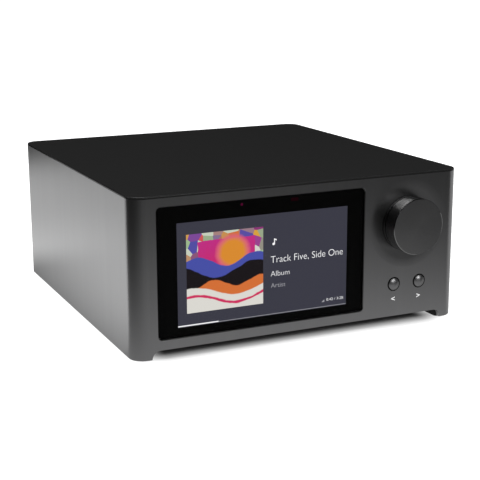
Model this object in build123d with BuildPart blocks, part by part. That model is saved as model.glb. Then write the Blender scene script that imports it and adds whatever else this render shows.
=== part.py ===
"""Streaming amplifier: a half-width metal cabinet with a front screen, a volume knob, two track
buttons and a rear panel of sockets. Millimetres, +Z up, the front face towards -Y, and the
origin on the floor under the middle of the whole object."""
import os

from build123d import *

os.makedirs("parts", exist_ok=True)

# Cabinet outside
width = 218.0
height = 96.0
overall_depth = 266.0
knob_proud = 11.8
terminal_proud = 27.2
corner_radius = 9.0
wall = 3.0
edge_lift = 5.7
leg_width = 11.4
leg_curve = 5.0
foot_proud = 0.5
bottom_chamfer = 0.4
top_panel_thickness = 1.5
top_panel_round = 0.8

# Fits shared by many pieces
slip = 0.05
gap = 0.15
clearance = 0.3

# Lid, tray, corner posts and feet
lid_thickness = 2.0
sheet = 1.2
tray_gap = 0.5
tray_flange = 5.0
post_radius = 5.0
post_sink = 0.8
foot_width = 9.2
foot_length = 38.0
foot_corner = 2.0
vent_length = 34.0
vent_width = 3.0
vent_pitch = 8.0
vent_count = 9

# Screws: countersunk ones for the case, small round-headed ones for everything inside
case_screw_radius = 1.4
case_screw_head = 2.4
case_screw_length = 11.0
foot_recess = 1.6
small_screw_radius = 1.1
small_screw_head = 1.9
small_screw_head_height = 1.2
frame_screw_bite = 2.0
frame_screw_inset = 16.0
cross_recess = 0.5
cross_arm = 0.35

# Display glass and screen
glass_side = 15.75
glass_to_dish = 6.45
glass_bottom = 11.95
glass_top_margin = 7.15
glass_radius = 2.2
glass_thickness = 1.8
window_chamfer = 0.5
module_side_margin = 6.6
module_rise = 0.5
module_top_margin = 4.4
module_thickness = 4.6
frame_plate = 2.0
retainer_thickness = 1.0
retainer_reach = 5.6
retainer_window_width = 84.0
retainer_window_height = 34.0
retainer_screw_spread = 48.0
lamp_radius = 1.0
lamp_from_glass_side = 52.85
lamp_top_margin = 2.6
receiver_width = 5.2
receiver_height = 2.2
receiver_from_glass_side = 87.05

# Volume knob, its dish and its encoder
knob_from_side = 37.0
knob_from_top = 31.7
knob_radius = 17.45
knob_sink = 0.8
knob_chamfer = 0.35
knob_groove_width = 0.8
knob_groove_depth = 0.5
knob_groove_place = 9.6
knob_shell = 2.8
knob_face_thickness = 3.6
dish_radius = 25.0
dish_depth = 2.6
dish_rim = 25.0
boss_radius = 26.5
boss_depth = 4.0
spot_face_radius = 6.6
spot_face_depth = 0.3
hub_radius = 7.0
shaft_radius = 3.0
shaft_flat = 2.4
bushing_radius = 3.5
nut_radius = 5.6
nut_thickness = 1.8
encoder_width = 12.5
encoder_height = 13.4
encoder_depth = 5.6

# Track buttons
button_spread = 18.4
button_drop = 37.9
button_radius = 4.1
button_gap = 0.4
button_proud = 1.8
button_dome = 1.7
button_flange = 5.4
button_flange_thickness = 1.0
button_travel = 0.8
stem_radius = 2.0
guide_radius = 6.8
guide_depth = 1.6
switch_width = 7.0
switch_height = 4.2

# Circuit boards
board = 1.6
board_rise = 6.5
control_board_width = 52.0
control_board_bottom = 10.5
control_board_top_margin = 7.8
control_post_spread = 44.0
control_post_low = 14.0
control_post_top_margin = 10.0
control_post_radius = 2.4
spacer_radius = 3.0
board_margin_side = 10.0
board_split = 10.0
board_gap = 8.0
board_front_gap = 14.0
amp_rear_gap = 26.0
main_screw_gap = 17.0
board_screw_inset = 5.0

# Rear panel
panel_side_margin = 10.0
panel_bottom = 9.0
panel_top_margin = 8.0
panel_thickness = 1.5
panel_radius = 3.0
panel_ledge = 4.0
rear_vent_length = 4.8
rear_vent_width = 1.5
rear_vent_pitch = 8.0
rear_vent_count = 9

# Speaker terminals
terminal_from_side = 76.0
terminal_pitch_x = 22.0
terminal_pitch_z = 22.0
terminal_rise = 3.5
terminal_plate_width = 42.0
terminal_plate_height = 42.0
terminal_plate_thickness = 3.0
terminal_collar_radius = 6.4
terminal_collar = 2.0
stud_radius = 2.9
stud_inside = 16.0
stud_sleeve = 1.2
banana_radius = 2.0
banana_depth = 14.5
cap_radius = 6.6
cap_flute = 0.7
cap_flutes = 12
cap_end_wall = 6.2
cap_mouth = 2.5
clamp_washer_radius = 5.6
clamp_washer = 0.8
terminal_nut_radius = 5.2
terminal_nut = 2.8

# Line sockets
line_first_from_side = 26.0
line_pitch_x = 16.0
line_pitch_z = 18.0
line_rise = 6.5
line_columns = 4
line_collar_radius = 4.15
line_collar_wall = 0.6
line_collar_length = 8.0
line_boss_radius = 5.0
line_boss_proud = 0.6
line_insert_length = 7.4
line_contact_radius = 1.65
line_contact_depth = 6.4
line_block_margin = 8.0
line_block_depth = 17.2
line_web = 1.2

# Sockets along the lower edge, each placed by its distance from the left side
socket_proud = 0.4
shell_wall = 0.5
socket_back = 2.4
tongue_recess = 1.2
ethernet_from_side = 27.0
ethernet_width = 16.0
ethernet_height = 13.6
ethernet_depth = 17.0
ethernet_mouth_width = 11.8
ethernet_mouth_height = 7.6
ethernet_latch_width = 6.4
ethernet_latch_height = 2.4
hdmi_from_side = 51.0
hdmi_width = 15.2
hdmi_height = 5.8
hdmi_depth = 11.5
hdmi_tongue_width = 11.0
hdmi_tongue_height = 1.6
usb_from_side = 73.0
usb_width = 14.2
usb_height = 6.4
usb_depth = 14.0
usb_tongue_width = 11.0
usb_tongue_height = 1.9
optical_from_side = 94.0
optical_width = 12.4
optical_height = 12.0
optical_depth = 16.0
optical_mouth = 9.0
shutter_thickness = 0.8
shutter_pivot_radius = 0.6
shutter_pin_radius = 0.4
shutter_pin_length = 0.8
mini_first_from_side = 112.0
mini_pitch = 13.0
mini_z = 20.5
mini_width = 8.0
mini_depth = 12.0
mini_bore = 1.8
mini_collar_radius = 3.6
mini_collar = 1.4

# Mains inlet and power switch
mains_from_side = 29.0
inlet_z = 28.0
inlet_flange_width = 31.0
inlet_flange_height = 24.0
inlet_flange = 2.0
inlet_body_width = 27.5
inlet_body_height = 19.6
inlet_mouth_width = 24.4
inlet_mouth_height = 16.8
inlet_mouth_chamfer = 4.6
inlet_mouth_depth = 16.5
inlet_back = 2.5
blade_spread = 14.0
blade_thickness = 2.0
blade_height = 4.0
blade_offset = 2.0
blade_length = 11.0
blade_tail = 7.0
switch_from_top = 32.0
rocker_flange_width = 15.0
rocker_flange_height = 21.5
rocker_flange = 1.6
rocker_flange_corner = 1.0
rocker_body_width = 12.8
rocker_body_height = 19.4
rocker_body_depth = 15.0
rocker_width = 10.0
rocker_radius = 8.2
rocker_pivot_depth = 4.6
rocker_rise = 5.6
rocker_tilt = 8.0
rocker_pin_radius = 1.0
rocker_pin_length = 0.9
rocker_tab_spread = 8.0
rocker_tab = 1.0

# Amplifier, power and streaming parts on the boards
heatsink_from_rear = 20.2
inductor_edge = 5.5
heatsink_base = 4.0
heatsink_height = 28.0
heatsink_fin = 1.6
heatsink_fins = 10
transformer_length = 40.0
transformer_height = 32.0
transformer_coil = 5.0
coil_corner = 3.0
capacitor_radius = 11.0
capacitor_height = 34.0
capacitor_pitch = 26.0
capacitor_edge = 1.0
stream_length = 54.0
stream_width = 42.0
stream_from_middle = 27.0
stream_lift = 5.0
shield_height = 4.0
shield_margin = 5.0
shield_corner = 1.0
flex_width = 24.0
flex_thickness = 0.4
flex_from_window = 1.55
flex_bend = 2.5
connector_height = 3.0
connector_depth = 5.0
chip_height = 1.4
processor_width = 18.0
processor_from_connector = 18.0
memory_width = 11.0
memory_gap = 5.5
memory_from_processor = 36.0
converter_width = 8.0
converter_gap = 8.0
converter_from_rear = 56.2
can_radius = 3.0
can_height = 8.0
can_pitch = 16.0
cans_from_converters = 24.0
inductor_width = 11.0
inductor_height = 9.0
inductor_gap = 4.4
inductor_corner = 1.5
heatsink_gap = 1.0
choke_width = 16.0
choke_height = 14.0
choke_corner = 3.0
choke_gap = 8.0
choke_from_edge = 15.0
fuse_width = 6.0
fuse_length = 22.0
fuse_gap = 5.0
wire_radius = 1.2
wire_bend = 4.0
wire_stagger = 5.5
wire_turn = 10.0
live_run_rise = 24.5
neutral_run_rise = 14.5

# Places worked out from the sizes above
front_y = knob_proud - overall_depth / 2
cabinet_depth = overall_depth - knob_proud - terminal_proud
rear_y = front_y + cabinet_depth
middle_y = (front_y + rear_y) / 2
front_inner = front_y + wall
rear_inner = rear_y - wall
side_inner = width / 2 - wall
case_top = height - top_panel_thickness
lid_bottom = case_top - lid_thickness
tray_bottom = edge_lift + tray_gap
tray_top = tray_bottom + sheet
board_bottom = tray_top + board_rise
board_top = board_bottom + board

post_x = side_inner - post_radius + post_sink
post_front = front_inner + post_radius - post_sink
post_rear = rear_inner - post_radius + post_sink
post_places = [(x, y) for x in (-post_x, post_x) for y in (post_front, post_rear)]

glass_width = width - glass_side - glass_to_dish - dish_radius - knob_from_side
glass_height = height - glass_bottom - glass_top_margin
glass_x = glass_side + glass_width / 2 - width / 2
glass_z = glass_bottom + glass_height / 2
module_width = glass_width - 2 * module_side_margin
module_height = glass_height - module_rise - module_top_margin
module_z = glass_bottom + module_rise + module_height / 2
module_back = front_y + glass_thickness + module_thickness
frame_back = module_back + clearance
lamp_x = glass_side + lamp_from_glass_side - width / 2
receiver_x = glass_side + receiver_from_glass_side - width / 2

knob_x = width / 2 - knob_from_side
knob_z = height - knob_from_top
knob_face = front_y - knob_proud
knob_back = front_y + knob_sink
boss_back = front_inner + boss_depth
nut_seat = front_y + dish_depth + spot_face_depth
nut_front = nut_seat - nut_thickness
control_front = boss_back + encoder_depth
control_back = control_front + board
control_board_top = height - control_board_top_margin
control_post_high = height - control_post_top_margin

button_places = [(knob_x - button_spread / 2, knob_z - button_drop),
                 (knob_x + button_spread / 2, knob_z - button_drop)]
switch_front = control_front - switch_height
guide_shoulder = front_inner + gap + button_flange_thickness + button_travel + gap
guide_back = guide_shoulder + guide_depth

panel_inner = rear_y - panel_thickness
panel_width = width - 2 * panel_side_margin
panel_top = height - panel_top_margin
panel_height = panel_top - panel_bottom
panel_z = (panel_top + panel_bottom) / 2
terminal_z = panel_z + terminal_rise
line_low_z = panel_z + line_rise - line_pitch_z / 2
switch_z = height - switch_from_top


def upright(y):
    """Give the upright plane at depth y. It is drawn on in X and Z, and its normal faces the front."""
    return Plane.XZ.offset(-y)


def save(piece, name):
    """Label a finished piece and write it to a file of its own."""
    piece.part.label = name
    export_step(piece.part, f"parts/{name}.step")


# Cabinet shell: front, sides and rear frame in one rounded metal wrap
dish_sphere = (dish_radius ** 2 + dish_depth ** 2) / (2 * dish_depth)
panel_screw_x = panel_width / 2 - panel_ledge / 2
panel_screw_z = panel_height / 2 - panel_ledge / 2
panel_screw_places = [(x * panel_screw_x, panel_z + z * panel_screw_z)
                      for x in (-1, -1 / 3, 1 / 3, 1) for z in (-1, 1)]
frame_top = lid_bottom - clearance
frame_bottom = tray_top + clearance
frame_screw_top = (frame_top + glass_bottom + glass_height) / 2
frame_screw_low = (frame_bottom + glass_bottom) / 2
frame_screw_spread = glass_width / 2 - frame_screw_inset
frame_screw_places = [(x, z) for x in (glass_x - frame_screw_spread, glass_x + frame_screw_spread)
                      for z in (frame_screw_low, frame_screw_top)]

with BuildPart() as case_wrap:
    with BuildSketch(Plane.XY.offset(foot_proud)):
        with Locations((0, middle_y)):
            RectangleRounded(width, cabinet_depth, corner_radius)
    extrude(amount=case_top - foot_proud)
    chamfer(case_wrap.faces().sort_by(Axis.Z)[0].edges(), length=bottom_chamfer)
    with BuildSketch(Plane.XY.offset(foot_proud)):
        with Locations((0, middle_y)):
            RectangleRounded(width - 2 * wall, cabinet_depth - 2 * wall, corner_radius - wall)
    extrude(amount=case_top - foot_proud, mode=Mode.SUBTRACT)
    # Round posts in the corners take the lid and foot screws
    with BuildSketch(Plane.XY.offset(tray_top)):
        with Locations(*post_places):
            Circle(post_radius)
    extrude(amount=lid_bottom - tray_top)
    # The dish round the knob is a shallow cap of a sphere, with a thicker wall behind it
    with BuildSketch(upright(front_inner)):
        with Locations((knob_x, knob_z)):
            Circle(boss_radius)
    extrude(amount=-boss_depth)
    with Locations((knob_x, front_y + dish_depth - dish_sphere, knob_z)):
        Sphere(dish_sphere, mode=Mode.SUBTRACT)
    fillet(case_wrap.edges().filter_by(GeomType.CIRCLE).sort_by(Axis.Y)[0], radius=dish_rim)
    with BuildSketch(upright(front_y)):
        with Locations((knob_x, knob_z)):
            Circle(spot_face_radius)
    extrude(amount=-(dish_depth + spot_face_depth), mode=Mode.SUBTRACT)
    with BuildSketch(upright(front_y)):
        with Locations((knob_x, knob_z)):
            Circle(bushing_radius + gap)
    extrude(amount=-(wall + boss_depth), mode=Mode.SUBTRACT)
    # Window for the display glass and holes for the buttons
    with BuildSketch(upright(front_y)):
        with Locations((glass_x, glass_z)):
            RectangleRounded(glass_width + 2 * gap, glass_height + 2 * gap, glass_radius + gap)
        with Locations(*button_places):
            Circle(button_radius + button_gap)
    extrude(amount=-wall, mode=Mode.SUBTRACT)
    window = case_wrap.faces().sort_by(Axis.Y)[0].inner_wires().sort_by(SortBy.LENGTH)[-1]
    chamfer(window.edges(), length=window_chamfer)
    # The front and rear edges are lifted between the corner legs
    with BuildSketch(upright(front_y)):
        RectangleRounded(width - 2 * leg_width, 2 * edge_lift, leg_curve)
    extrude(amount=-cabinet_depth, mode=Mode.SUBTRACT)
    # Rear opening, with a ledge that the rear panel lies on
    with BuildSketch(upright(rear_y)):
        with Locations((0, panel_z)):
            RectangleRounded(panel_width + 2 * gap, panel_height + 2 * gap, panel_radius + gap)
    extrude(amount=panel_thickness, mode=Mode.SUBTRACT)
    with BuildSketch(upright(rear_y)):
        with Locations((0, panel_z)):
            RectangleRounded(panel_width - 2 * panel_ledge, panel_height - 2 * panel_ledge, panel_radius)
    extrude(amount=wall, mode=Mode.SUBTRACT)
    # Screw holes
    with BuildSketch(upright(rear_y)):
        with Locations(*panel_screw_places):
            Circle(small_screw_radius + slip)
    extrude(amount=wall, mode=Mode.SUBTRACT)
    with BuildSketch(upright(front_inner)):
        with Locations(*frame_screw_places):
            Circle(small_screw_radius + slip)
    extrude(amount=frame_screw_bite + slip, mode=Mode.SUBTRACT)
    with BuildSketch(Plane.XY.offset(tray_top)):
        with Locations(*post_places):
            Circle(case_screw_radius + slip)
    extrude(amount=case_screw_length, mode=Mode.SUBTRACT)
    with BuildSketch(Plane.XY.offset(lid_bottom)):
        with Locations(*post_places):
            Circle(case_screw_radius + slip)
    extrude(amount=-case_screw_length, mode=Mode.SUBTRACT)
save(case_wrap, "case_wrap")

# Top panel: gloss black sheet over the whole top, flush with the walls
with BuildPart() as top_panel:
    with BuildSketch(Plane.XY.offset(case_top)):
        with Locations((0, middle_y)):
            RectangleRounded(width, cabinet_depth, corner_radius)
    extrude(amount=top_panel_thickness)
    fillet(top_panel.faces().sort_by(Axis.Z)[-1].edges(), radius=top_panel_round)
save(top_panel, "top_panel")

# Lid plate under the top panel, screwed down to the corner posts
with BuildPart() as lid_plate:
    with BuildSketch(Plane.XY.offset(lid_bottom)):
        with Locations((0, middle_y)):
            RectangleRounded(2 * side_inner - 2 * gap, cabinet_depth - 2 * wall - 2 * gap,
                             corner_radius - wall - gap)
    extrude(amount=lid_thickness)
    with Locations(*[(x, y, case_top) for x, y in post_places]):
        CounterSinkHole(radius=case_screw_radius + gap, counter_sink_radius=case_screw_head + 2 * gap)
save(lid_plate, "lid_plate")

# Countersunk case screws: four down through the lid, four up through the feet and the tray
with BuildPart() as case_screws:
    for head_level, way in ((case_top - gap, -1), (foot_recess, 1)):
        with BuildSketch(Plane.XY.offset(head_level)):
            with Locations(*post_places):
                Circle(case_screw_head)
        extrude(amount=way * (case_screw_head - case_screw_radius), taper=45)
        with BuildSketch(Plane.XY.offset(head_level)):
            with Locations(*post_places):
                Circle(case_screw_radius)
        extrude(amount=way * case_screw_length)
save(case_screws, "case_screws")

# Base tray: folded sheet with vent slots, held up by the foot screws
power_left = board_split + board_gap
power_right = side_inner - board_margin_side
main_left = board_margin_side - side_inner
main_right = board_split
board_front = front_inner + board_front_gap
main_rear = rear_inner - clearance
amp_rear = rear_inner - amp_rear_gap
power_rear = middle_y + clearance
amp_front = power_rear + board_gap


def board_corners(left, right, front, rear):
    """Give the four screw places of a board."""
    return [(x, y) for x in (left + board_screw_inset, right - board_screw_inset)
            for y in (front + board_screw_inset, rear - board_screw_inset)]


main_inset_rear = rear_inner - ethernet_depth - main_screw_gap
main_screws = board_corners(main_left, main_right, board_front, main_inset_rear)
power_screws = board_corners(power_left, power_right, board_front, power_rear)
amp_screws = board_corners(power_left, power_right, amp_front, amp_rear)
spacer_places = main_screws + power_screws + amp_screws

tray_rear = rear_inner - gap
flange_half = post_x - post_radius - clearance
with BuildPart() as base_tray:
    with BuildSketch(Plane.XY.offset(tray_bottom)):
        with Locations((0, middle_y)):
            RectangleRounded(2 * side_inner - 2 * gap, cabinet_depth - 2 * wall - 2 * gap,
                             corner_radius - wall - gap)
    extrude(amount=sheet)
    with BuildSketch(Plane.XY.offset(tray_top)):
        with Locations((0, tray_rear - sheet / 2)):
            Rectangle(2 * flange_half, sheet)
        with Locations((sheet / 2 + gap - side_inner, middle_y), (side_inner - gap - sheet / 2, middle_y)):
            Rectangle(sheet, post_rear - post_front - 2 * post_radius - 2 * clearance)
    extrude(amount=tray_flange)
    with BuildSketch(Plane.XY.offset(tray_bottom)):
        with Locations(((main_left + main_right) / 2, middle_y), ((power_left + power_right) / 2, middle_y)):
            with GridLocations(vent_length + vent_pitch, vent_pitch, 2, vent_count):
                SlotOverall(vent_length, vent_width)
    extrude(amount=sheet, mode=Mode.SUBTRACT)
    with BuildSketch(Plane.XY.offset(tray_bottom)):
        with Locations(*post_places):
            Circle(case_screw_radius + gap)
    extrude(amount=sheet, mode=Mode.SUBTRACT)
save(base_tray, "base_tray")

# Rubber feet inside the corner legs, each held by the screw that holds the tray
foot_x = side_inner - gap - foot_width / 2
foot_front = front_inner + gap + foot_length / 2
foot_rear = rear_inner - gap - foot_length / 2
with BuildPart() as feet:
    with BuildSketch():
        with Locations(*[(x, y) for x in (-foot_x, foot_x) for y in (foot_front, foot_rear)]):
            RectangleRounded(foot_width, foot_length, foot_corner)
        with Locations((0, middle_y)):
            RectangleRounded(2 * side_inner - 2 * gap, cabinet_depth - 2 * wall - 2 * gap,
                             corner_radius - wall - gap, mode=Mode.INTERSECT)
    extrude(amount=tray_bottom)
    with BuildSketch():
        with Locations(*post_places):
            Circle(case_screw_head + gap)
    extrude(amount=foot_recess, mode=Mode.SUBTRACT)
    with BuildSketch(Plane.XY.offset(foot_recess)):
        with Locations(*post_places):
            Circle(case_screw_head + gap)
    extrude(amount=case_screw_head - case_screw_radius, taper=45, mode=Mode.SUBTRACT)
    with BuildSketch():
        with Locations(*post_places):
            Circle(case_screw_radius + gap)
    extrude(amount=tray_bottom, mode=Mode.SUBTRACT)
save(feet, "feet")

# Display glass, flush with the front and bonded to the screen behind it
with BuildPart() as display_glass:
    with BuildSketch(upright(front_y)):
        with Locations((glass_x, glass_z)):
            RectangleRounded(glass_width, glass_height, glass_radius)
    extrude(amount=-glass_thickness)
save(display_glass, "display_glass")

# Screen: panel and backlight in one slim module
with BuildPart() as screen_module:
    with BuildSketch(upright(front_y + glass_thickness)):
        with Locations((glass_x, module_z)):
            Rectangle(module_width, module_height)
    extrude(amount=-module_thickness)
save(screen_module, "screen_module")

# Front frame: one moulding behind the front wall that holds the screen, the control board posts
# and the button guides
frame_left = -flange_half
frame_right = flange_half
surround_right = glass_x + glass_width / 2 + retainer_reach
lamp_z = glass_bottom + glass_height - lamp_top_margin
control_posts = [(knob_x + x * control_post_spread / 2, z)
                 for x in (-1, 1) for z in (control_post_low, control_post_high)]
retainer_screws_x = [glass_x - module_width / 2 - retainer_reach / 2,
                     glass_x + module_width / 2 + retainer_reach / 2]
retainer_screw_places = [(x, module_z + z * retainer_screw_spread / 2)
                         for x in retainer_screws_x for z in (-1, 1)]
with BuildPart() as front_frame:
    with BuildSketch(upright(front_inner)):
        with Locations(((frame_left + frame_right) / 2, (frame_bottom + frame_top) / 2)):
            Rectangle(frame_right - frame_left, frame_top - frame_bottom)
    extrude(amount=-frame_plate)
    with BuildSketch(upright(front_inner)):
        with Locations(((frame_left + surround_right) / 2, (frame_bottom + frame_top) / 2)):
            Rectangle(surround_right - frame_left, frame_top - frame_bottom)
    extrude(amount=front_inner - frame_back)
    with BuildSketch(upright(front_inner)):
        with Locations(*control_posts):
            Circle(control_post_radius)
    extrude(amount=front_inner - control_front)
    with BuildSketch(upright(front_inner)):
        with Locations(*button_places):
            Circle(guide_radius)
    extrude(amount=front_inner - guide_back)
    # Pocket for the screen, open at the back
    with BuildSketch(upright(front_inner)):
        with Locations((glass_x, module_z)):
            Rectangle(module_width + 2 * clearance, module_height + 2 * clearance)
    extrude(amount=front_inner - frame_back, mode=Mode.SUBTRACT)
    # Room for the thick wall behind the dish
    with BuildSketch(upright(front_inner)):
        with Locations((knob_x, knob_z)):
            Circle(boss_radius + clearance)
    extrude(amount=front_inner - boss_back, mode=Mode.SUBTRACT)
    # Guides: a wide chamber for the button's flange and a narrow hole for its stem
    with BuildSketch(upright(front_inner)):
        with Locations(*button_places):
            Circle(button_flange + clearance)
    extrude(amount=front_inner - guide_shoulder, mode=Mode.SUBTRACT)
    with BuildSketch(upright(front_inner)):
        with Locations(*button_places):
            Circle(stem_radius + gap)
    extrude(amount=front_inner - guide_back, mode=Mode.SUBTRACT)
    # Holes for the lamp, the infrared receiver and the frame's own screws
    with BuildSketch(upright(front_inner)):
        with Locations((lamp_x, lamp_z)):
            Circle(lamp_radius + gap)
        with Locations((receiver_x, lamp_z)):
            Rectangle(receiver_width + 2 * gap, receiver_height + 2 * gap)
        with Locations(*frame_screw_places):
            Circle(small_screw_radius + slip)
    extrude(amount=front_inner - frame_back, mode=Mode.SUBTRACT)
    # Blind holes for the screws of the retainer and the control board
    with BuildSketch(upright(frame_back)):
        with Locations(*retainer_screw_places):
            Circle(small_screw_radius + slip)
    extrude(amount=frame_screw_bite + slip, mode=Mode.SUBTRACT)
    with BuildSketch(upright(control_front)):
        with Locations(*control_posts):
            Circle(small_screw_radius + slip)
    extrude(amount=frame_screw_bite + slip, mode=Mode.SUBTRACT)
save(front_frame, "front_frame")

with BuildPart() as front_frame_screws:
    with BuildSketch(upright(frame_back)):
        with Locations(*frame_screw_places):
            Circle(small_screw_head)
    extrude(amount=-small_screw_head_height)
    with BuildSketch(upright(frame_back)):
        with Locations(*frame_screw_places):
            Circle(small_screw_radius)
    extrude(amount=frame_back - front_inner + frame_screw_bite)
save(front_frame_screws, "front_frame_screws")

# Steel retainer that closes the screen pocket
with BuildPart() as display_retainer:
    with BuildSketch(upright(frame_back)):
        with Locations((glass_x, module_z)):
            Rectangle(module_width + 2 * retainer_reach, module_height - 2 * retainer_reach)
            Rectangle(retainer_window_width, retainer_window_height, mode=Mode.SUBTRACT)
        with Locations(*retainer_screw_places):
            Circle(small_screw_head + gap)
            Circle(small_screw_radius + gap, mode=Mode.SUBTRACT)
    extrude(amount=-retainer_thickness)
save(display_retainer, "display_retainer")

# Infrared receiver and standby lamp, seen through the black border of the glass
with BuildPart() as infrared_receiver:
    with BuildSketch(upright(front_inner)):
        with Locations((receiver_x, lamp_z)):
            Rectangle(receiver_width, receiver_height)
    extrude(amount=front_inner - frame_back)
save(infrared_receiver, "infrared_receiver")

with BuildPart() as standby_lamp:
    with BuildSketch(upright(front_inner)):
        with Locations((lamp_x, lamp_z)):
            Circle(lamp_radius)
    extrude(amount=front_inner - frame_back)
save(standby_lamp, "standby_lamp")

# Volume knob: turned metal shell with a fine groove near its back, hollow behind
cavity_radius = knob_radius - knob_shell
cavity_floor = knob_face + knob_face_thickness
with BuildPart() as volume_knob:
    with BuildSketch(upright(knob_face)):
        with Locations((knob_x, knob_z)):
            Circle(knob_radius)
    extrude(amount=knob_face - knob_back)
    chamfer(volume_knob.edges().filter_by(GeomType.CIRCLE).sort_by(Axis.Y)[0], length=knob_chamfer)
    with BuildSketch(upright(knob_face + knob_groove_place)):
        with Locations((knob_x, knob_z)):
            Circle(knob_radius)
            Circle(knob_radius - knob_groove_depth, mode=Mode.SUBTRACT)
    extrude(amount=-knob_groove_width, mode=Mode.SUBTRACT)
    with BuildSketch(upright(cavity_floor)):
        with Locations((knob_x, knob_z)):
            Circle(cavity_radius)
    extrude(amount=cavity_floor - knob_back, mode=Mode.SUBTRACT)
save(volume_knob, "volume_knob")

# Hub pressed into the knob, with a flat-sided bore for the shaft
hub_back = nut_front - 3 * clearance
shaft_tip = cavity_floor + 2 * clearance
shaft_end = boss_back + encoder_depth / 2
bushing_end = nut_front - clearance
with BuildPart() as knob_hub:
    with BuildSketch(upright(cavity_floor)):
        with Locations((knob_x, knob_z)):
            Circle(hub_radius)
    extrude(amount=cavity_floor - hub_back)
    with BuildSketch(upright(shaft_tip - clearance)):
        with Locations((knob_x, knob_z)):
            Circle(shaft_radius + slip)
        with Locations((knob_x, knob_z + shaft_flat + slip + shaft_radius)):
            Rectangle(2 * hub_radius, 2 * shaft_radius, mode=Mode.SUBTRACT)
    extrude(amount=shaft_tip - clearance - hub_back, mode=Mode.SUBTRACT)
save(knob_hub, "knob_hub")

with BuildPart() as encoder_shaft:
    with BuildSketch(upright(shaft_tip)):
        with Locations((knob_x, knob_z)):
            Circle(shaft_radius)
    extrude(amount=shaft_tip - shaft_end)
    with BuildSketch(upright(shaft_tip)):
        with Locations((knob_x, knob_z + shaft_flat + shaft_radius)):
            Rectangle(2 * hub_radius, 2 * shaft_radius)
    extrude(amount=shaft_tip - hub_back, mode=Mode.SUBTRACT)
save(encoder_shaft, "encoder_shaft")

# Rotary encoder: square body on the control board and a round bushing through the wall
with BuildPart() as encoder_body:
    with BuildSketch(upright(boss_back)):
        with Locations((knob_x, knob_z)):
            Rectangle(encoder_width, encoder_height)
    extrude(amount=-encoder_depth)
    with BuildSketch(upright(boss_back)):
        with Locations((knob_x, knob_z)):
            Circle(bushing_radius)
    extrude(amount=boss_back - bushing_end)
    with BuildSketch(upright(bushing_end)):
        with Locations((knob_x, knob_z)):
            Circle(shaft_radius + gap)
    extrude(amount=bushing_end - shaft_end - gap, mode=Mode.SUBTRACT)
save(encoder_body, "encoder_body")

with BuildPart() as encoder_nut:
    with BuildSketch(upright(nut_front)):
        with Locations((knob_x, knob_z)):
            RegularPolygon(nut_radius, 6)
            Circle(bushing_radius + slip, mode=Mode.SUBTRACT)
    extrude(amount=-nut_thickness)
save(encoder_nut, "encoder_nut")

# Control board behind the knob and buttons, on four posts of the front frame
with BuildPart() as control_board:
    with BuildSketch(upright(control_front)):
        with Locations((knob_x, (control_board_bottom + control_board_top) / 2)):
            Rectangle(control_board_width, control_board_top - control_board_bottom)
        with Locations(*control_posts):
            Circle(small_screw_radius + gap, mode=Mode.SUBTRACT)
    extrude(amount=-board)
save(control_board, "control_board")

with BuildPart() as push_switches:
    with BuildSketch(upright(switch_front)):
        with Locations(*button_places):
            Rectangle(switch_width, switch_width)
    extrude(amount=-switch_height)
    with BuildSketch(upright(switch_front)):
        with Locations(*button_places):
            Circle(stem_radius + gap)
    extrude(amount=-(switch_height - gap - button_travel), mode=Mode.SUBTRACT)
save(push_switches, "push_switches")

# Track buttons: domed caps, each with a flange behind the wall and a stem to its switch
dome_sphere = (button_radius ** 2 + button_dome ** 2) / (2 * button_dome)
stem_end = switch_front + button_travel
for name, place in zip(("previous_button", "next_button"), button_places):
    with BuildPart() as track_button:
        with BuildSketch(upright(front_y - button_proud)):
            with Locations(place):
                Circle(button_radius)
        extrude(amount=-(button_proud + wall + gap))
        with Locations((place[0], front_y - button_proud + dome_sphere, place[1])):
            Sphere(dome_sphere, rotation=(90, 0, 0), mode=Mode.INTERSECT)
        with BuildSketch(upright(front_inner + gap)):
            with Locations(place):
                Circle(button_flange)
        extrude(amount=-button_flange_thickness)
        with BuildSketch(upright(front_inner + gap)):
            with Locations(place):
                Circle(stem_radius)
        extrude(amount=front_inner + gap - stem_end)
    save(track_button, name)

# Main board on the left: display connector and processor at its front, converters at its rear
flex_z = board_top + connector_height / 2
flex_top = module_z - retainer_window_height / 2 + flex_from_window
connector_y = board_front + connector_depth
stream_x = (main_left + main_right) / 2
stream_y = middle_y - stream_from_middle
processor_y = connector_y + processor_from_connector
converter_y = main_rear - converter_from_rear
can_y = converter_y - cans_from_converters
converter_pitch = converter_width + converter_gap
with BuildPart() as main_board:
    with BuildSketch(Plane.XY.offset(board_bottom)):
        with Locations(((main_left + main_right) / 2, (board_front + main_rear) / 2)):
            Rectangle(main_right - main_left, main_rear - board_front)
        with Locations(*main_screws):
            Circle(small_screw_radius + gap, mode=Mode.SUBTRACT)
    extrude(amount=board)
    with BuildSketch(Plane.XY.offset(board_top)):
        with Locations((glass_x, connector_y + connector_depth / 2)):
            Rectangle(flex_width + connector_depth, connector_depth)
    extrude(amount=connector_height)
    with BuildSketch(Plane.XY.offset(board_top)):
        with Locations((glass_x, processor_y)):
            Rectangle(processor_width, processor_width)
        with Locations((glass_x - memory_from_processor, processor_y)):
            with GridLocations(memory_width + memory_gap, 0, 2, 1):
                Rectangle(memory_width, memory_width)
        with Locations((stream_x, converter_y)):
            with GridLocations(converter_pitch, 0, 4, 1):
                Rectangle(converter_width, converter_width)
    extrude(amount=chip_height)
    with BuildSketch(Plane.XY.offset(board_top)):
        with Locations((stream_x, can_y)):
            with GridLocations(can_pitch, can_pitch, 4, 2):
                Circle(can_radius)
    extrude(amount=can_height)
save(main_board, "main_board")

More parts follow.
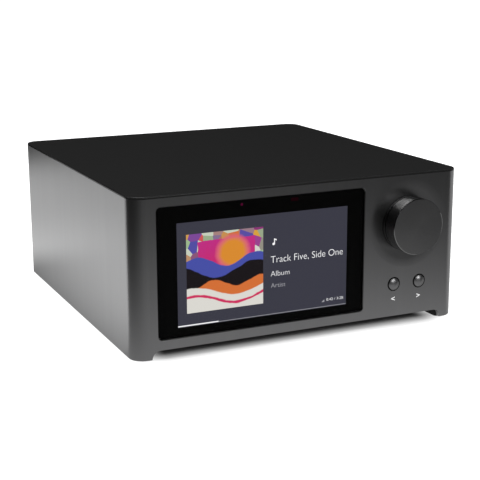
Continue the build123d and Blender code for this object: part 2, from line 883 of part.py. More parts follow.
# Streaming module: a small radio board on two tall connectors, under a shield can
with BuildPart() as streaming_module:
    with BuildSketch(Plane.XY.offset(board_top)):
        with Locations((stream_x, stream_y - stream_width / 2 + connector_depth)):
            Rectangle(stream_length - 2 * shield_margin, connector_depth)
        with Locations((stream_x, stream_y + stream_width / 2 - connector_depth)):
            Rectangle(stream_length - 2 * shield_margin, connector_depth)
    extrude(amount=stream_lift)
    with BuildSketch(Plane.XY.offset(board_top + stream_lift)):
        with Locations((stream_x, stream_y)):
            Rectangle(stream_length, stream_width)
    extrude(amount=board)
    with BuildSketch(Plane.XY.offset(board_top + stream_lift + board)):
        with Locations((stream_x, stream_y)):
            RectangleRounded(stream_length - 2 * shield_margin, stream_width - 2 * shield_margin,
                             shield_corner)
    extrude(amount=shield_height)
save(streaming_module, "streaming_module")

# Display flex: from the back of the screen down to its connector
with BuildPart() as display_flex:
    with BuildSketch(Plane.YZ.offset(glass_x)):
        with BuildLine():
            FilletPolyline((module_back, flex_top), (board_front - 2 * flex_bend, flex_top),
                           (board_front - 2 * flex_bend, flex_z),
                           (connector_y, flex_z), radius=flex_bend)
        trace(line_width=flex_thickness)
    extrude(amount=flex_width / 2, both=True)
save(display_flex, "display_flex")

# Power supply board at the front right, with its fuse, choke, transformer and reservoir capacitors
choke_x = power_right - choke_from_edge - choke_width / 2
transformer_left = power_left + board_screw_inset
transformer_width = choke_x - choke_width / 2 - choke_gap - transformer_left
transformer_x = transformer_left + transformer_width / 2
transformer_y = power_rear - transformer_length / 2 - 2 * board_screw_inset
fuse_y = transformer_y + choke_width / 2 + fuse_gap + fuse_width / 2
with BuildPart() as power_board:
    with BuildSketch(Plane.XY.offset(board_bottom)):
        with Locations(((power_left + power_right) / 2, (board_front + power_rear) / 2)):
            Rectangle(power_right - power_left, power_rear - board_front)
        with Locations(*power_screws):
            Circle(small_screw_radius + gap, mode=Mode.SUBTRACT)
    extrude(amount=board)
    with BuildSketch(Plane.XY.offset(board_top)):
        with Locations((choke_x, transformer_y)):
            RectangleRounded(choke_width, choke_width, choke_corner)
    extrude(amount=choke_height)
    with BuildSketch(Plane.XY.offset(board_top)):
        with Locations((choke_x, fuse_y)):
            Rectangle(fuse_length, fuse_width)
    extrude(amount=fuse_width)
save(power_board, "power_board")

with BuildPart() as transformer:
    with BuildSketch(Plane.XY.offset(board_top)):
        with Locations((transformer_x, transformer_y)):
            Rectangle(transformer_width, transformer_length)
            with GridLocations(transformer_width - transformer_coil, 0, 2, 1):
                Rectangle(transformer_coil, transformer_length - 4 * transformer_coil, mode=Mode.SUBTRACT)
    extrude(amount=transformer_height)
    with BuildSketch(Plane.XY.offset(board_top + transformer_coil)):
        with Locations((transformer_x, transformer_y)):
            RectangleRounded(transformer_width, transformer_length - 5 * transformer_coil, coil_corner)
    extrude(amount=transformer_height - 2 * transformer_coil)
save(transformer, "transformer")

capacitor_x = power_right - capacitor_radius - 3 * board_screw_inset
capacitor_y = board_front + capacitor_radius + 2 * board_screw_inset
with BuildPart() as reservoir_capacitors:
    with BuildSketch(Plane.XY.offset(board_top)):
        with Locations((capacitor_x, capacitor_y), (capacitor_x - capacitor_pitch, capacitor_y)):
            Circle(capacitor_radius)
    extrude(amount=capacitor_height)
    chamfer(reservoir_capacitors.faces().group_by(Axis.Z)[-1].edges(), length=capacitor_edge)
save(reservoir_capacitors, "reservoir_capacitors")

# Amplifier board at the rear right: output inductors beside a finned heat sink
heatsink_left = power_left + board_screw_inset / 2
heatsink_front = amp_front + 2 * board_screw_inset
heatsink_width = power_right - inductor_edge - inductor_width - heatsink_gap - heatsink_left
heatsink_length = amp_rear - heatsink_from_rear - heatsink_front
heatsink_x = heatsink_left + heatsink_width / 2
heatsink_y = heatsink_front + heatsink_length / 2
inductor_x = heatsink_x + heatsink_width / 2 + heatsink_gap + inductor_width / 2
with BuildPart() as amplifier_board:
    with BuildSketch(Plane.XY.offset(board_bottom)):
        with Locations(((power_left + power_right) / 2, (amp_front + amp_rear) / 2)):
            Rectangle(power_right - power_left, amp_rear - amp_front)
        with Locations(*amp_screws):
            Circle(small_screw_radius + gap, mode=Mode.SUBTRACT)
    extrude(amount=board)
    with BuildSketch(Plane.XY.offset(board_top)):
        with Locations((inductor_x, heatsink_y)):
            with GridLocations(0, inductor_width + inductor_gap, 1, 3):
                RectangleRounded(inductor_width, inductor_width, inductor_corner)
    extrude(amount=inductor_height)
save(amplifier_board, "amplifier_board")

fin_pitch = (heatsink_width - heatsink_fin) / (heatsink_fins - 1)
with BuildPart() as heat_sink:
    with BuildSketch(Plane.XY.offset(board_top)):
        with Locations((heatsink_x, heatsink_y)):
            Rectangle(heatsink_width, heatsink_length)
    extrude(amount=heatsink_base)
    with BuildSketch(Plane.XY.offset(board_top + heatsink_base)):
        with Locations((heatsink_x, heatsink_y)):
            with GridLocations(fin_pitch, 0, heatsink_fins, 1):
                Rectangle(heatsink_fin, heatsink_length)
    extrude(amount=heatsink_height - heatsink_base)
save(heat_sink, "heat_sink")

# Hexagonal spacers under the boards, and one kind of small screw for all the inner fixings
with BuildPart() as board_spacers:
    with BuildSketch(Plane.XY.offset(tray_top)):
        with Locations(*spacer_places):
            RegularPolygon(spacer_radius, 6)
            Circle(small_screw_radius + slip, mode=Mode.SUBTRACT)
    extrude(amount=board_rise)
save(board_spacers, "board_spacers")

with BuildPart() as inner_screws:
    with BuildSketch(Plane.XY.offset(board_top)):
        with Locations(*spacer_places):
            Circle(small_screw_head)
    extrude(amount=small_screw_head_height)
    with BuildSketch(Plane.XY.offset(board_top)):
        with Locations(*spacer_places):
            Circle(small_screw_radius)
    extrude(amount=-(board + board_rise / 2))
    with BuildSketch(upright(control_back)):
        with Locations(*control_posts):
            Circle(small_screw_head)
    extrude(amount=-small_screw_head_height)
    with BuildSketch(upright(control_back)):
        with Locations(*control_posts):
            Circle(small_screw_radius)
    extrude(amount=board + frame_screw_bite)
    with BuildSketch(upright(frame_back + retainer_thickness)):
        with Locations(*retainer_screw_places):
            Circle(small_screw_head)
    extrude(amount=-small_screw_head_height)
    with BuildSketch(upright(frame_back + retainer_thickness)):
        with Locations(*retainer_screw_places):
            Circle(small_screw_radius)
    extrude(amount=retainer_thickness + frame_screw_bite)
save(inner_screws, "inner_screws")

# Places of the rear sockets
terminal_x = width / 2 - terminal_from_side
terminal_places = [(terminal_x + x * terminal_pitch_x / 2, terminal_z + z * terminal_pitch_z / 2)
                   for x in (-1, 1) for z in (-1, 1)]
line_x = [line_first_from_side - width / 2 + column * line_pitch_x for column in range(line_columns)]
line_places = [(x, z) for x in line_x for z in (line_low_z, line_low_z + line_pitch_z)]
ethernet_x = ethernet_from_side - width / 2
hdmi_x = hdmi_from_side - width / 2
usb_x = usb_from_side - width / 2
optical_x = optical_from_side - width / 2
mini_places = [(mini_first_from_side - width / 2 + turn * mini_pitch, mini_z) for turn in range(2)]
mains_x = width / 2 - mains_from_side
ethernet_z = board_top + ethernet_height / 2
hdmi_z = board_top + hdmi_height / 2
usb_z = board_top + usb_height / 2
optical_z = board_top + optical_height / 2

# Rear panel with a cut-out for each socket and a row of vent slots
with BuildPart() as rear_panel:
    with BuildSketch(upright(rear_y)):
        with Locations((0, panel_z)):
            RectangleRounded(panel_width, panel_height, panel_radius)
        with Locations(*panel_screw_places):
            Circle(small_screw_radius + gap, mode=Mode.SUBTRACT)
        with Locations(*terminal_places):
            Circle(stud_radius + stud_sleeve + gap, mode=Mode.SUBTRACT)
        with Locations(*line_places):
            Circle(line_boss_radius + gap, mode=Mode.SUBTRACT)
        with Locations((ethernet_x, ethernet_z)):
            Rectangle(ethernet_width + 2 * gap, ethernet_height + 2 * gap, mode=Mode.SUBTRACT)
        with Locations((hdmi_x, hdmi_z)):
            Rectangle(hdmi_width + 2 * gap, hdmi_height + 2 * gap, mode=Mode.SUBTRACT)
        with Locations((usb_x, usb_z)):
            Rectangle(usb_width + 2 * gap, usb_height + 2 * gap, mode=Mode.SUBTRACT)
        with Locations((optical_x, optical_z)):
            Rectangle(optical_width + 2 * gap, optical_height + 2 * gap, mode=Mode.SUBTRACT)
        with Locations(*mini_places):
            Circle(mini_collar_radius + gap, mode=Mode.SUBTRACT)
        with Locations((mains_x, inlet_z)):
            Rectangle(inlet_body_width + 2 * gap, inlet_body_height + 2 * gap, mode=Mode.SUBTRACT)
        with Locations((mains_x, switch_z)):
            Rectangle(rocker_body_width + 2 * gap, rocker_body_height + 2 * gap, mode=Mode.SUBTRACT)
        with Locations(((line_x[0] + line_x[-1]) / 2, panel_top - panel_ledge - rear_vent_length)):
            with GridLocations(rear_vent_pitch, 0, rear_vent_count, 1):
                SlotOverall(rear_vent_length, rear_vent_width, rotation=90, mode=Mode.SUBTRACT)
    extrude(amount=panel_thickness)
save(rear_panel, "rear_panel")

with BuildPart() as rear_panel_screws:
    with BuildSketch(upright(rear_y)):
        with Locations(*panel_screw_places):
            Circle(small_screw_head)
    extrude(amount=-small_screw_head_height)
    with BuildSketch(upright(rear_y)):
        with Locations(*panel_screw_places):
            Circle(small_screw_radius)
    extrude(amount=wall)
    with BuildSketch(upright(rear_y + small_screw_head_height)):
        with Locations(*panel_screw_places):
            Rectangle(2 * small_screw_head - 4 * cross_arm, 2 * cross_arm)
            Rectangle(2 * cross_arm, 2 * small_screw_head - 4 * cross_arm)
    extrude(amount=cross_recess, mode=Mode.SUBTRACT)
save(rear_panel_screws, "rear_panel_screws")

# Speaker terminals: an insulating plate, four studs bored for banana plugs, and nuts behind
plate_back = rear_y + terminal_plate_thickness
collar_back = plate_back + terminal_collar
post_tip = overall_depth / 2
with BuildPart() as terminal_plate:
    with BuildSketch(upright(rear_y)):
        with Locations((terminal_x, terminal_z)):
            RectangleRounded(terminal_plate_width, terminal_plate_height, panel_radius)
    extrude(amount=-terminal_plate_thickness)
    with BuildSketch(upright(plate_back)):
        with Locations(*terminal_places):
            Circle(terminal_collar_radius)
    extrude(amount=-terminal_collar)
    with BuildSketch(upright(rear_y)):
        with Locations(*terminal_places):
            Circle(stud_radius + stud_sleeve)
    extrude(amount=panel_thickness)
    with BuildSketch(upright(collar_back)):
        with Locations(*terminal_places):
            Circle(stud_radius + slip)
    extrude(amount=collar_back - panel_inner, mode=Mode.SUBTRACT)
save(terminal_plate, "terminal_plate")

stud_tip = post_tip - cap_end_wall - 2 * gap
with BuildPart() as terminal_studs:
    with BuildSketch(upright(panel_inner - stud_inside)):
        with Locations(*terminal_places):
            Circle(stud_radius)
    extrude(amount=panel_inner - stud_inside - stud_tip)
    with BuildSketch(upright(stud_tip)):
        with Locations(*terminal_places):
            Circle(banana_radius)
    extrude(amount=banana_depth, mode=Mode.SUBTRACT)
save(terminal_studs, "terminal_studs")

with BuildPart() as terminal_nuts:
    with BuildSketch(upright(panel_inner)):
        with Locations(*terminal_places):
            RegularPolygon(terminal_nut_radius, 6)
            Circle(stud_radius + slip, mode=Mode.SUBTRACT)
    extrude(amount=terminal_nut)
save(terminal_nuts, "terminal_nuts")

# Each terminal's screw cap, with a captive clamp washer ahead of it
washer_front = collar_back + gap
cap_front = washer_front + clamp_washer + gap
terminal_names = ("right_negative", "right_positive", "left_negative", "left_positive")
for name, place in zip(terminal_names, terminal_places):
    with BuildPart() as clamp_ring:
        with BuildSketch(upright(washer_front)):
            with Locations(place):
                Circle(clamp_washer_radius)
                Circle(stud_radius + gap, mode=Mode.SUBTRACT)
        extrude(amount=-clamp_washer)
    save(clamp_ring, f"clamp_washer_{name}")
    with BuildPart() as screw_cap:
        with BuildSketch(upright(cap_front)):
            with Locations(place):
                Circle(cap_radius)
                with PolarLocations(cap_radius, cap_flutes):
                    Circle(cap_flute, mode=Mode.SUBTRACT)
        extrude(amount=cap_front - post_tip)
        with BuildSketch(upright(cap_front)):
            with Locations(place):
                Circle(stud_radius + gap)
        extrude(amount=cap_front - post_tip + cap_end_wall, mode=Mode.SUBTRACT)
        with BuildSketch(upright(post_tip)):
            with Locations(place):
                Circle(cap_mouth)
        extrude(amount=cap_end_wall, mode=Mode.SUBTRACT)
    save(screw_cap, f"terminal_cap_{name}")

# Line sockets: one moulded block behind the panel, eight plated collars and their inserts
line_face = rear_y + line_boss_proud
with BuildPart() as line_block:
    with BuildSketch(upright(panel_inner)):
        with Locations(((line_x[0] + line_x[-1]) / 2, line_low_z + line_pitch_z / 2)):
            Rectangle(line_x[-1] - line_x[0] + 2 * line_block_margin, line_pitch_z + 2 * line_block_margin)
    extrude(amount=line_block_depth)
    with BuildSketch(upright(panel_inner)):
        with Locations(*line_places):
            Circle(line_boss_radius)
    extrude(amount=panel_inner - line_face)
    # A web at the back of the block stands on the main board, behind the lower sockets
    with BuildSketch(Plane.XY.offset(board_top)):
        with Locations(((line_x[0] + line_x[-1]) / 2, panel_inner - line_block_depth + line_web / 2)):
            Rectangle(line_x[-1] - line_x[0], line_web)
    extrude(amount=line_low_z - board_top)
save(line_block, "line_block")

with BuildPart() as line_collars:
    with BuildSketch(upright(line_face)):
        with Locations(*line_places):
            Circle(line_collar_radius)
            Circle(line_collar_radius - line_collar_wall, mode=Mode.SUBTRACT)
    extrude(amount=-line_collar_length)
save(line_collars, "line_collars")

with BuildPart() as line_inserts:
    with BuildSketch(upright(line_face)):
        with Locations(*line_places):
            Circle(line_collar_radius - line_collar_wall - slip)
    extrude(amount=-line_insert_length)
    with BuildSketch(upright(line_face + line_insert_length)):
        with Locations(*line_places):
            Circle(line_contact_radius)
    extrude(amount=line_contact_depth, mode=Mode.SUBTRACT)
save(line_inserts, "line_inserts")

# Network socket: a metal box with a stepped mouth for the plug and its latch
socket_face = rear_y + socket_proud
with BuildPart() as ethernet_socket:
    with BuildSketch(upright(socket_face)):
        with Locations((ethernet_x, ethernet_z)):
            Rectangle(ethernet_width, ethernet_height)
    extrude(amount=ethernet_depth)
    with BuildSketch(upright(socket_face)):
        with Locations((ethernet_x, ethernet_z)):
            Rectangle(ethernet_mouth_width, ethernet_mouth_height)
        with Locations((ethernet_x, ethernet_z - ethernet_mouth_height / 2 - ethernet_latch_height / 2)):
            Rectangle(ethernet_latch_width, ethernet_latch_height)
    extrude(amount=ethernet_depth - socket_back, mode=Mode.SUBTRACT)
save(ethernet_socket, "ethernet_socket")

# Video and data sockets: folded shells, each round a contact tongue
with BuildPart() as hdmi_socket:
    with BuildSketch(upright(socket_face)):
        with Locations((hdmi_x, hdmi_z)):
            Rectangle(hdmi_width, hdmi_height)
    extrude(amount=hdmi_depth)
    with BuildSketch(upright(socket_face)):
        with Locations((hdmi_x, hdmi_z)):
            Rectangle(hdmi_width - 2 * shell_wall, hdmi_height - 2 * shell_wall)
            Rectangle(hdmi_tongue_width, hdmi_tongue_height, mode=Mode.SUBTRACT)
    extrude(amount=hdmi_depth - socket_back, mode=Mode.SUBTRACT)
    with BuildSketch(upright(socket_face)):
        with Locations((hdmi_x, hdmi_z)):
            Rectangle(hdmi_width - 2 * shell_wall, hdmi_height - 2 * shell_wall)
    extrude(amount=tongue_recess, mode=Mode.SUBTRACT)
save(hdmi_socket, "hdmi_socket")

with BuildPart() as usb_socket:
    with BuildSketch(upright(socket_face)):
        with Locations((usb_x, usb_z)):
            Rectangle(usb_width, usb_height)
    extrude(amount=usb_depth)
    with BuildSketch(upright(socket_face)):
        with Locations((usb_x, usb_z)):
            Rectangle(usb_width - 2 * shell_wall, usb_height - 2 * shell_wall)
        with Locations((usb_x, usb_z + usb_tongue_height / 2)):
            Rectangle(usb_tongue_width, usb_tongue_height, mode=Mode.SUBTRACT)
    extrude(amount=usb_depth - socket_back, mode=Mode.SUBTRACT)
    with BuildSketch(upright(socket_face)):
        with Locations((usb_x, usb_z)):
            Rectangle(usb_width - 2 * shell_wall, usb_height - 2 * shell_wall)
    extrude(amount=tongue_recess, mode=Mode.SUBTRACT)
save(usb_socket, "usb_socket")

# Optical socket: a square mouth closed by a flap that swings in on two stub pins at its top
shutter_z = optical_z + optical_mouth / 2 - shutter_pivot_radius - gap
shutter_y = socket_face - shutter_pivot_radius - gap
shutter_width = optical_mouth - 2 * gap
with BuildPart() as optical_socket:
    with BuildSketch(upright(socket_face)):
        with Locations((optical_x, optical_z)):
            Rectangle(optical_width, optical_height)
    extrude(amount=optical_depth)
    with BuildSketch(upright(socket_face)):
        with Locations((optical_x, optical_z)):
            Rectangle(optical_mouth, optical_mouth)
    extrude(amount=optical_depth - socket_back, mode=Mode.SUBTRACT)
    with BuildSketch(Plane.YZ.offset(optical_x)):
        with Locations((shutter_y, shutter_z)):
            Circle(shutter_pin_radius + slip)
    extrude(amount=shutter_width / 2 + shutter_pin_length + gap, both=True, mode=Mode.SUBTRACT)
save(optical_socket, "optical_socket")

with BuildPart() as optical_shutter:
    with BuildSketch(Plane.YZ.offset(optical_x)):
        with Locations((shutter_y, shutter_z)):
            Circle(shutter_pivot_radius)
        with Locations((shutter_y, (shutter_z + optical_z - optical_mouth / 2 + gap) / 2)):
            Rectangle(shutter_thickness, shutter_z - optical_z + optical_mouth / 2 - gap)
    extrude(amount=shutter_width / 2, both=True)
    with BuildSketch(Plane.YZ.offset(optical_x)):
        with Locations((shutter_y, shutter_z)):
            Circle(shutter_pin_radius)
    extrude(amount=shutter_width / 2 + shutter_pin_length, both=True)
save(optical_shutter, "optical_shutter")

# Two mini sockets for a trigger and an infrared extender
with BuildPart() as mini_sockets:
    with BuildSketch(upright(panel_inner)):
        with Locations(*[(x, board_top + mini_width / 2) for x, z in mini_places]):
            Rectangle(mini_width, mini_width)
    extrude(amount=mini_depth)
    with BuildSketch(upright(panel_inner)):
        with Locations(*mini_places):
            Circle(mini_collar_radius)
    extrude(amount=panel_inner - rear_y - mini_collar)
    with BuildSketch(upright(rear_y + mini_collar)):
        with Locations(*mini_places):
            Circle(mini_bore)
    extrude(amount=mini_depth, mode=Mode.SUBTRACT)
save(mini_sockets, "mini_sockets")

# Mains inlet: flange outside, body inside, a deep mouth with two cut corners
inlet_face = rear_y + inlet_flange
inlet_floor = inlet_face - inlet_mouth_depth
inlet_rear = inlet_floor - inlet_back
blade_places = [(mains_x - blade_spread / 2, inlet_z - blade_offset), (mains_x, inlet_z + blade_offset),
                (mains_x + blade_spread / 2, inlet_z - blade_offset)]
with BuildPart() as mains_inlet:
    with BuildSketch(upright(inlet_face)):
        with Locations((mains_x, inlet_z)):
            RectangleRounded(inlet_flange_width, inlet_flange_height, panel_radius)
    extrude(amount=inlet_flange)
    with BuildSketch(upright(rear_y)):
        with Locations((mains_x, inlet_z)):
            Rectangle(inlet_body_width, inlet_body_height)
    extrude(amount=rear_y - inlet_rear)
    with BuildSketch(upright(inlet_face)) as mouth:
        with Locations((mains_x, inlet_z)):
            Rectangle(inlet_mouth_width, inlet_mouth_height)
        chamfer(mouth.vertices().group_by(Axis.Y)[-1], length=inlet_mouth_chamfer)
    extrude(amount=inlet_mouth_depth, mode=Mode.SUBTRACT)
    with BuildSketch(upright(inlet_floor)):
        with Locations(*blade_places):
            Rectangle(blade_thickness + 2 * slip, blade_height + 2 * slip)
    extrude(amount=inlet_back, mode=Mode.SUBTRACT)
save(mains_inlet, "mains_inlet")

with BuildPart() as inlet_blades:
    with BuildSketch(upright(inlet_floor + blade_length)):
        with Locations(*blade_places):
            Rectangle(blade_thickness, blade_height)
    extrude(amount=blade_length + inlet_back + blade_tail)
save(inlet_blades, "inlet_blades")

# Power switch: a rocker that tips on two stub pins in its housing, shown with its upper end pressed
rocker_face = rear_y + rocker_flange
pivot_y = rocker_face - rocker_pivot_depth
housing_rear = rear_y - rocker_body_depth
rocker_room = rocker_radius + clearance
rocker_half = rocker_width / 2
with BuildPart() as switch_housing:
    with BuildSketch(upright(rocker_face)):
        with Locations((mains_x, switch_z)):
            RectangleRounded(rocker_flange_width, rocker_flange_height, rocker_flange_corner)
    extrude(amount=rocker_flange)
    with BuildSketch(upright(rear_y)):
        with Locations((mains_x, switch_z)):
            Rectangle(rocker_body_width, rocker_body_height)
    extrude(amount=rocker_body_depth)
    with BuildSketch(upright(rocker_face)):
        with Locations((mains_x, switch_z)):
            Rectangle(rocker_width + 2 * gap, 2 * rocker_room)
    extrude(amount=rocker_pivot_depth + rocker_room, mode=Mode.SUBTRACT)
    with BuildSketch(Plane.YZ.offset(mains_x)):
        with Locations((pivot_y, switch_z)):
            Circle(rocker_pin_radius + slip)
    extrude(amount=rocker_half + rocker_pin_length + gap, both=True, mode=Mode.SUBTRACT)
    with BuildSketch(upright(housing_rear)):
        with Locations((mains_x, switch_z)):
            with GridLocations(0, rocker_tab_spread, 1, 2):
                Rectangle(blade_height, rocker_tab)
    extrude(amount=blade_tail)
save(switch_housing, "switch_housing")

rocker_low = rocker_rise - rocker_flange
with BuildPart() as power_rocker:
    with BuildSketch(Plane.YZ.offset(mains_x)):
        with Locations(Location((pivot_y, switch_z, 0), (0, 0, rocker_tilt))):
            Circle(rocker_radius)
            with Locations((rocker_radius + rocker_low, 0)):
                Rectangle(2 * rocker_radius, 3 * rocker_radius, rotation=rocker_tilt, mode=Mode.SUBTRACT)
                Rectangle(2 * rocker_radius, 3 * rocker_radius, rotation=-rocker_tilt, mode=Mode.SUBTRACT)
    extrude(amount=rocker_half, both=True)
    with BuildSketch(Plane.YZ.offset(mains_x)):
        with Locations((pivot_y, switch_z)):
            Circle(rocker_pin_radius)
    extrude(amount=rocker_half + rocker_pin_length, both=True)
save(power_rocker, "power_rocker")

# Inner wires: each starts square on its tab or stud and ends standing on its board


def run_wire(points):
    """Sweep one round wire along straight runs joined by arcs."""
    with BuildLine() as route:
        FilletPolyline(*points, radius=wire_bend)
    with BuildSketch(Plane(origin=route.line @ 0, z_dir=route.line % 0)) as end:
        Circle(wire_radius)
    sweep(sections=end.sketch, path=route.line)


stud_end = panel_inner - stud_inside
wire_row_y = amp_rear - 2 * board_screw_inset - wire_stagger / 2
with BuildPart() as speaker_wires:
    for x, z in terminal_places:
        bend_y = wire_row_y - wire_stagger * (z - terminal_z) / terminal_pitch_z
        run_wire([(x, stud_end, z), (x, bend_y, z), (x, bend_y, board_top)])
save(speaker_wires, "speaker_wires")

# Mains wires: inlet to switch, switch to power board, and inlet straight to power board
blade_end = inlet_rear - blade_tail
tab_end = housing_rear - blade_tail
turn_y = blade_end - 2 * wire_bend
neutral_x, live_x = blade_places[0][0], blade_places[2][0]
blade_z = inlet_z - blade_offset
live_run_x = power_right - wire_bend
neutral_run_x = live_run_x - wire_bend
landing_y = transformer_y + wire_bend
run_start_y = amp_rear - wire_turn
live_run_z = board_top + live_run_rise
neutral_run_z = board_top + neutral_run_rise
with BuildPart() as mains_wires:
    run_wire([(live_x, blade_end, blade_z), (live_x, turn_y, blade_z),
              (mains_x, turn_y, switch_z - rocker_tab_spread / 2),
              (mains_x, tab_end, switch_z - rocker_tab_spread / 2)])
    run_wire([(mains_x, tab_end, switch_z + rocker_tab_spread / 2),
              (mains_x, turn_y, switch_z + rocker_tab_spread / 2),
              (live_run_x, run_start_y, live_run_z),
              (live_run_x, landing_y, live_run_z),
              (live_run_x, landing_y, board_top)])
    run_wire([(neutral_x, blade_end, blade_z), (neutral_x, turn_y, blade_z),
              (neutral_run_x, run_start_y, neutral_run_z),
              (neutral_run_x, landing_y, neutral_run_z),
              (neutral_run_x, landing_y, board_top)])
save(mains_wires, "mains_wires")
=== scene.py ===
import math

import bmesh
import bpy
from mathutils import Matrix, Vector


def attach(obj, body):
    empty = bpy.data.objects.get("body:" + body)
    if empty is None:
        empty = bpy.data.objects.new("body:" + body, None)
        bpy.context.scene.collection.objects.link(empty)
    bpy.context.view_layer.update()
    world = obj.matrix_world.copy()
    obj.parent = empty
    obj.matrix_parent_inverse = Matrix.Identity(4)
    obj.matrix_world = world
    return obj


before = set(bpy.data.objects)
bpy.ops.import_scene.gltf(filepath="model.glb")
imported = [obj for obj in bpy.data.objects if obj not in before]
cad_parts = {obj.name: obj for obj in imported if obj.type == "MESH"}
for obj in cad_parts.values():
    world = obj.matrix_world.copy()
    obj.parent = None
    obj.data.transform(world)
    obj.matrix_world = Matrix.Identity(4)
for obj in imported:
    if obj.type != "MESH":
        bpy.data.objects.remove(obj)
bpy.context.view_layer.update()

# Camera: it stands in front of the left corner, a little above the top, where the photograph was
# taken from. Its place, turn and focal length were fitted to the cabinet's edges.
camera_place = (-0.311907, -0.708837, 0.223139)
swing_degrees, dip_degrees, roll_degrees = -24.638, 13.689, -0.233
photo_view = bpy.data.cameras.new("photo_camera")
photo_view.sensor_width = 36.0
photo_view.lens = 86.38
photo_view.clip_start = 0.01
photo_camera = bpy.data.objects.new("photo_camera", photo_view)
swing = Matrix.Rotation(math.radians(swing_degrees), 4, "Z")
pitch = Matrix.Rotation(math.radians(90 - dip_degrees), 4, "X")
roll = Matrix.Rotation(math.radians(roll_degrees), 4, "Z")
photo_camera.matrix_world = Matrix.Translation(camera_place) @ swing @ pitch @ roll
bpy.context.scene.collection.objects.link(photo_camera)
bpy.context.scene.camera = photo_camera
bpy.context.scene.view_settings.view_transform = "Standard"


# Floor: a wide white sheet of paper that the amplifier stands on. It is lit plainly near the object,
# where the shadow falls, and goes to plain white further out. The white is a painted glow, and its
# fade round the footprint paints the soft edge of the shadow.
class Field:
    """A value that changes over a surface. Used in an expression, it adds Math nodes."""

    def __init__(self, finish, socket):
        self.finish = finish
        self.socket = socket

    def __add__(self, other):
        return self.finish.maths("ADD", self, other)

    def __sub__(self, other):
        return self.finish.maths("SUBTRACT", self, other)

    def __rsub__(self, other):
        return self.finish.maths("SUBTRACT", other, self)

    def __mul__(self, other):
        return self.finish.maths("MULTIPLY", self, other)

    def __truediv__(self, other):
        return self.finish.maths("DIVIDE", self, other)

    def __lt__(self, other):
        return self.finish.maths("LESS_THAN", self, other)

    def __gt__(self, other):
        return self.finish.maths("GREATER_THAN", self, other)

    __radd__ = __add__
    __rmul__ = __mul__


class Finish:
    """The material of one kind of surface, with methods that add nodes to it."""

    def __init__(self, name):
        self.material = bpy.data.materials.new(name)
        self.material.use_nodes = True
        self.tree = self.material.node_tree
        self.shader = self.tree.nodes["Principled BSDF"]
        self.slot = None

    def feed(self, socket, value):
        if isinstance(value, Field):
            self.tree.links.new(value.socket, socket)
        else:
            socket.default_value = value

    def node(self, kind, settings, sockets, output=0):
        made = self.tree.nodes.new(kind)
        for name, value in settings.items():
            setattr(made, name, value)
        for name, value in sockets.items():
            self.feed(made.inputs[name], value)
        return Field(self, made.outputs[output])

    def maths(self, operation, *values):
        return self.node("ShaderNodeMath", {"operation": operation}, dict(enumerate(values)))

    def either(self, first, second):
        """The larger of two values."""
        return self.maths("MAXIMUM", first, second)

    def distance(self, first, second):
        """The length of the line whose two legs are given."""
        return self.maths("SQRT", first * first + second * second)

    def place(self, axis=None):
        spot = self.node("ShaderNodeTexCoord", {}, {}, "Object")
        return self.node("ShaderNodeSeparateXYZ", {}, {"Vector": spot}, axis) if axis else spot

    def off(self, axis, middle):
        """How far a point is from a middle value along one axis, to either side."""
        return self.maths("ABSOLUTE", self.place(axis) - middle)

    def between(self, axis, low, high):
        """1 where a point lies between two values along one axis, and 0 elsewhere."""
        return (self.place(axis) > low) * (self.place(axis) < high)

    def noise(self, scale, stretch=(1, 1, 1), detail=3.0):
        spot = self.node("ShaderNodeMapping", {}, {"Vector": self.place(), "Scale": stretch})
        return self.node("ShaderNodeTexNoise", {}, {"Vector": spot, "Scale": scale, "Detail": detail})

    def span(self, value, low, high, to_low=0.0, to_high=1.0):
        return self.node("ShaderNodeMapRange", {},
                         {"Value": value, 1: low, 2: high, 3: to_low, 4: to_high})

    def mix(self, share, first, second):
        return self.node("ShaderNodeMix", {"data_type": "RGBA"}, {0: share, 6: first, 7: second}, 2)

    def bump(self, height, depth, strength=1.0, slope=None):
        sockets = {"Height": height, "Distance": depth, "Strength": strength}
        return self.node("ShaderNodeBump", {}, sockets | {"Normal": slope} if slope else sockets)

    def set(self, **sockets):
        for name, value in sockets.items():
            self.feed(self.shader.inputs[name.replace("_", " ").title().replace("Ior", "IOR")], value)
        return self

    def glow(self, share, level=1.0):
        """Let a share of the surface glow in grey, as seen by the eye and by mirrors."""
        return self.set(emission_color=self.mix(share, grey(0.0), grey(level)), emission_strength=1.0)


def grey(level):
    """A plain grey, as a shader colour."""
    return (level, level, level, 1.0)


def seen_by_eye_and_mirror(tree):
    """The share of rays that show a white background: those of the camera, mirrors and glass."""
    rays = tree.nodes.new("ShaderNodeLightPath")
    total = rays.outputs["Is Camera Ray"]
    for name in ("Is Glossy Ray", "Is Transmission Ray"):
        both = tree.nodes.new("ShaderNodeMath")
        both.operation = "MAXIMUM"
        tree.links.new(total, both.inputs[0])
        tree.links.new(rays.outputs[name], both.inputs[1])
        total = both.outputs[0]
    return total


cabinet_half_width, cabinet_half_depth, cabinet_middle_y = 0.109, 0.1135, -0.0077


def from_cabinet(finish, inset_x=0.0, inset_y=0.0):
    """How far a point of the floor is from the cabinet's footprint, or from one inset."""
    aside = finish.off("X", 0.0) - (cabinet_half_width - inset_x)
    along = finish.off("Y", cabinet_middle_y) - (cabinet_half_depth - inset_y)
    gap = finish.node("ShaderNodeCombineXYZ", {}, {"X": finish.either(aside, 0.0),
                                                   "Y": finish.either(along, 0.0)})
    return finish.node("ShaderNodeVectorMath", {"operation": "LENGTH"}, {0: gap}, "Value")


